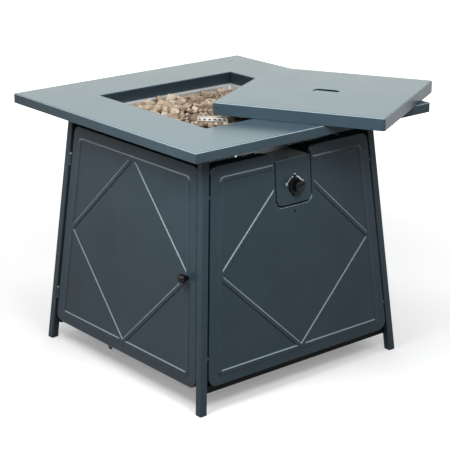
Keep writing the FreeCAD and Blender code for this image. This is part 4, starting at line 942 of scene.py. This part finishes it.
def arc_band(radius, arc, width0, width1, steps):
    """Flat ribbon round the knob's axis whose width changes evenly from end to end."""
    start, end = arc
    sweep = math.radians(end - start)
    bm = bmesh.new()
    a = bm.verts.new((radius, 0, 0))
    b = bm.verts.new((radius + width0, 0, 0))
    edge = bm.edges.new((a, b))
    bmesh.ops.spin(bm, geom=[a, b, edge], cent=(0, 0, 0), axis=(0, 0, 1), angle=sweep, steps=steps,
                   use_merge=False, use_normal_flip=False, use_duplicate=False)
    for vert in bm.verts:
        share = math.atan2(vert.co.y, vert.co.x) / sweep
        width = (vert.co.length - radius) / width0 * (width0 + (width1 - width0) * share)
        vert.co = vert.co.normalized() * (radius + width)
    bm.transform(Matrix.Rotation(math.radians(start), 4, "Z"))
    return bm


def lettering(words, angle, radius):
    """Plain letters centred at an angle round the knob, their tops outwards."""
    curve = bpy.data.curves.new(words, "FONT")
    curve.body = words
    curve.size = LETTER
    # Strokes a little bolder than the plain letters'
    curve.offset = LETTER / 18
    curve.align_x = "CENTER"
    curve.align_y = "CENTER"
    holder = in_scene(words, curve)
    mesh = bpy.data.meshes.new_from_object(holder)
    bpy.data.objects.remove(holder)
    bm = bmesh.new()
    bm.from_mesh(mesh)
    bpy.data.meshes.remove(mesh)
    at = math.radians(angle)
    bm.transform(Matrix.Rotation(at - math.pi / 2, 4, "Z") @ Matrix.Translation((0, radius, 0)))
    return bm


def dial_marks():
    """White marks round the knob: off at the right, a band that thins up to high, a thin one on to low."""
    bm = arc_band(DIAL_R, LOW_ARC, THIN_BAND, THIN_BAND, steps=24)
    join(bm, arc_band(DIAL_R, HIGH_ARC, THIN_BAND, BROAD_BAND, steps=32))
    for words, angle, radius_mm in WORDS:
        join(bm, lettering(words, angle, radius_mm * MM))
    bm.transform(face_place("front", INK_LIFT) @ Matrix.Translation((DIAL_SHIFT, KNOB_V, 0)))
    piece("dial_marks", bm, INK, "frame")


def build_pieces():
    """Every piece that is drawn in place of a solid, and the dial's print."""
    control_side_panel()
    plain = (PANEL_GAP, PANEL_GAP)
    plain_panel("right", "right_side_panel", "frame", "right_panel", PANEL_BOTTOM, plain)
    plain_panel("back", "back_side_panel", "frame", "back_panel", PANEL_BOTTOM, plain)
    plain_panel("left", "door_skin", "door", "door_panel", DOOR_BOTTOM, (HINGE_GAP, LATCH_GAP), -DOOR_RECESS)
    pilot_guard()
    stones("stones_below", LAYERS_BELOW, rounds=1, seed=3)
    stones("stones_on_top", LAYER_ON_TOP, rounds=2, seed=8, placed=BIG_STONES + beside_guard())
    control_knob()
    dial_marks()


# Camera, floor and light


def aimed(made, place, direction):
    """Put a camera or a lamp at a place, looking in a direction."""
    made.location = place
    made.rotation_euler = direction.to_track_quat("-Z", "Y").to_euler()


def camera():
    """Stands where the photograph was taken from."""
    level = math.cos(CAMERA_RISE)
    back = Vector((math.sin(CAMERA_TURN) * level, -math.cos(CAMERA_TURN) * level, math.sin(CAMERA_RISE)))
    data = bpy.data.cameras.new("camera")
    data.lens = LENS
    data.sensor_width = FILM
    made = in_scene("camera", data)
    aimed(made, CAMERA_AIM + back * CAMERA_REACH, -back)
    bpy.context.scene.camera = made


def seen_by_eye(tree):
    """1 for rays that the camera, a mirror or glass sends, 0 for light."""
    path = add(tree, "ShaderNodeLightPath").outputs
    mirror = maths(tree, "MAXIMUM", path["Is Glossy Ray"], path["Is Transmission Ray"])
    return maths(tree, "MAXIMUM", path["Is Camera Ray"], mirror)


def floor():
    """White floor that keeps the table's shadow and fades to plain white further off."""
    bm = bmesh.new()
    bmesh.ops.create_grid(bm, x_segments=1, y_segments=1, size=FLOOR_SIZE)
    mesh = bpy.data.meshes.new("floor")
    bm.to_mesh(mesh)
    bm.free()
    material = bpy.data.materials.new("white_floor")
    tree = cleared(material)
    seen = seen_by_eye(tree)
    grey = tint(tree, seen, linear("#484848"), linear("#DCDCDC"))
    matt = add(tree, "ShaderNodeBsdfDiffuse", {"Color": grey})
    place = add(tree, "ShaderNodeTexCoord").outputs["Object"]
    far = add(tree, "ShaderNodeVectorMath", {0: place}, operation="LENGTH").outputs["Value"]
    fade = add(tree, "ShaderNodeMapRange", {"Value": far, "From Min": SHADOW_REACH, "From Max": WHITE_REACH,
                                            "To Min": FLOOR_GLOW}, interpolation_type="SMOOTHSTEP")
    lift = maths(tree, "MULTIPLY", seen, fade.outputs["Result"])
    glow = add(tree, "ShaderNodeEmission", {"Strength": lift})
    both = add(tree, "ShaderNodeAddShader", {0: matt.outputs[0], 1: glow.outputs[0]})
    add(tree, "ShaderNodeOutputMaterial", {"Surface": both.outputs[0]})
    mesh.materials.append(material)
    made = in_scene("floor", mesh)


def surroundings():
    """White studio: plain to the eye and in reflections, softer as light."""
    world = bpy.data.worlds.new("studio")
    bpy.context.scene.world = world
    tree = cleared(world)
    strength = spread(tree, seen_by_eye(tree), STUDIO_LIGHT, 1.0)
    back = add(tree, "ShaderNodeBackground", {"Color": linear("#FFFFFF"), "Strength": strength})
    add(tree, "ShaderNodeOutputWorld", {"Surface": back.outputs[0]})


def lamp(name, place, aim, size, power, colour="#FFFFFF"):
    """Rectangular lamp that the camera doesn't see."""
    data = bpy.data.lights.new(name, "AREA")
    data.shape = "RECTANGLE"
    data.size, data.size_y = size
    data.energy = power
    data.color = linear(colour)[:3]
    made = in_scene(name, data)
    aimed(made, place, Vector(aim) - Vector(place))
    made.visible_camera = False


def lights():
    """A broad lamp above, small ones that glint along the beads, two close ones that fill the door and
    the control side, and one behind that shines along the top."""
    lamp("overhead", (0.0, 0.0, 2.9), (0, 0, 0.5), (2.0, 2.0), 50)
    lamp("left_glint", (-2.6, -0.34, 2.0), (0, 0, 0.4), (0.5, 0.5), 8)
    lamp("front_glint", (-0.86, -2.76, 2.15), (0, 0, 0.4), (0.5, 0.5), 9)
    lamp("right_box", (1.9, -1.4, 2.6), (0, 0, 0.4), (0.8, 0.8), 9)
    lamp("left_back_box", (-1.6, 2.4, 1.8), (0, 0, 0.4), (0.8, 0.8), 5)
    lamp("door_fill", (-0.8, -0.28, 1.06), (-0.28, -0.1, 0.5), (0.35, 0.35), 7.5)
    lamp("front_fill", (-0.3, -0.93, 1.12), (-0.04, -0.28, 0.52), (0.35, 0.35), 7)
    lamp("back_box", (2.4, 2.9, 1.7), (0, 0, 0.6), (3.4, 1.4), 20, "#EDFFF6")


camera()
dress_nodes()
build_pieces()
floor()
surroundings()
lights()
bpy.context.scene.view_settings.view_transform = "Standard"
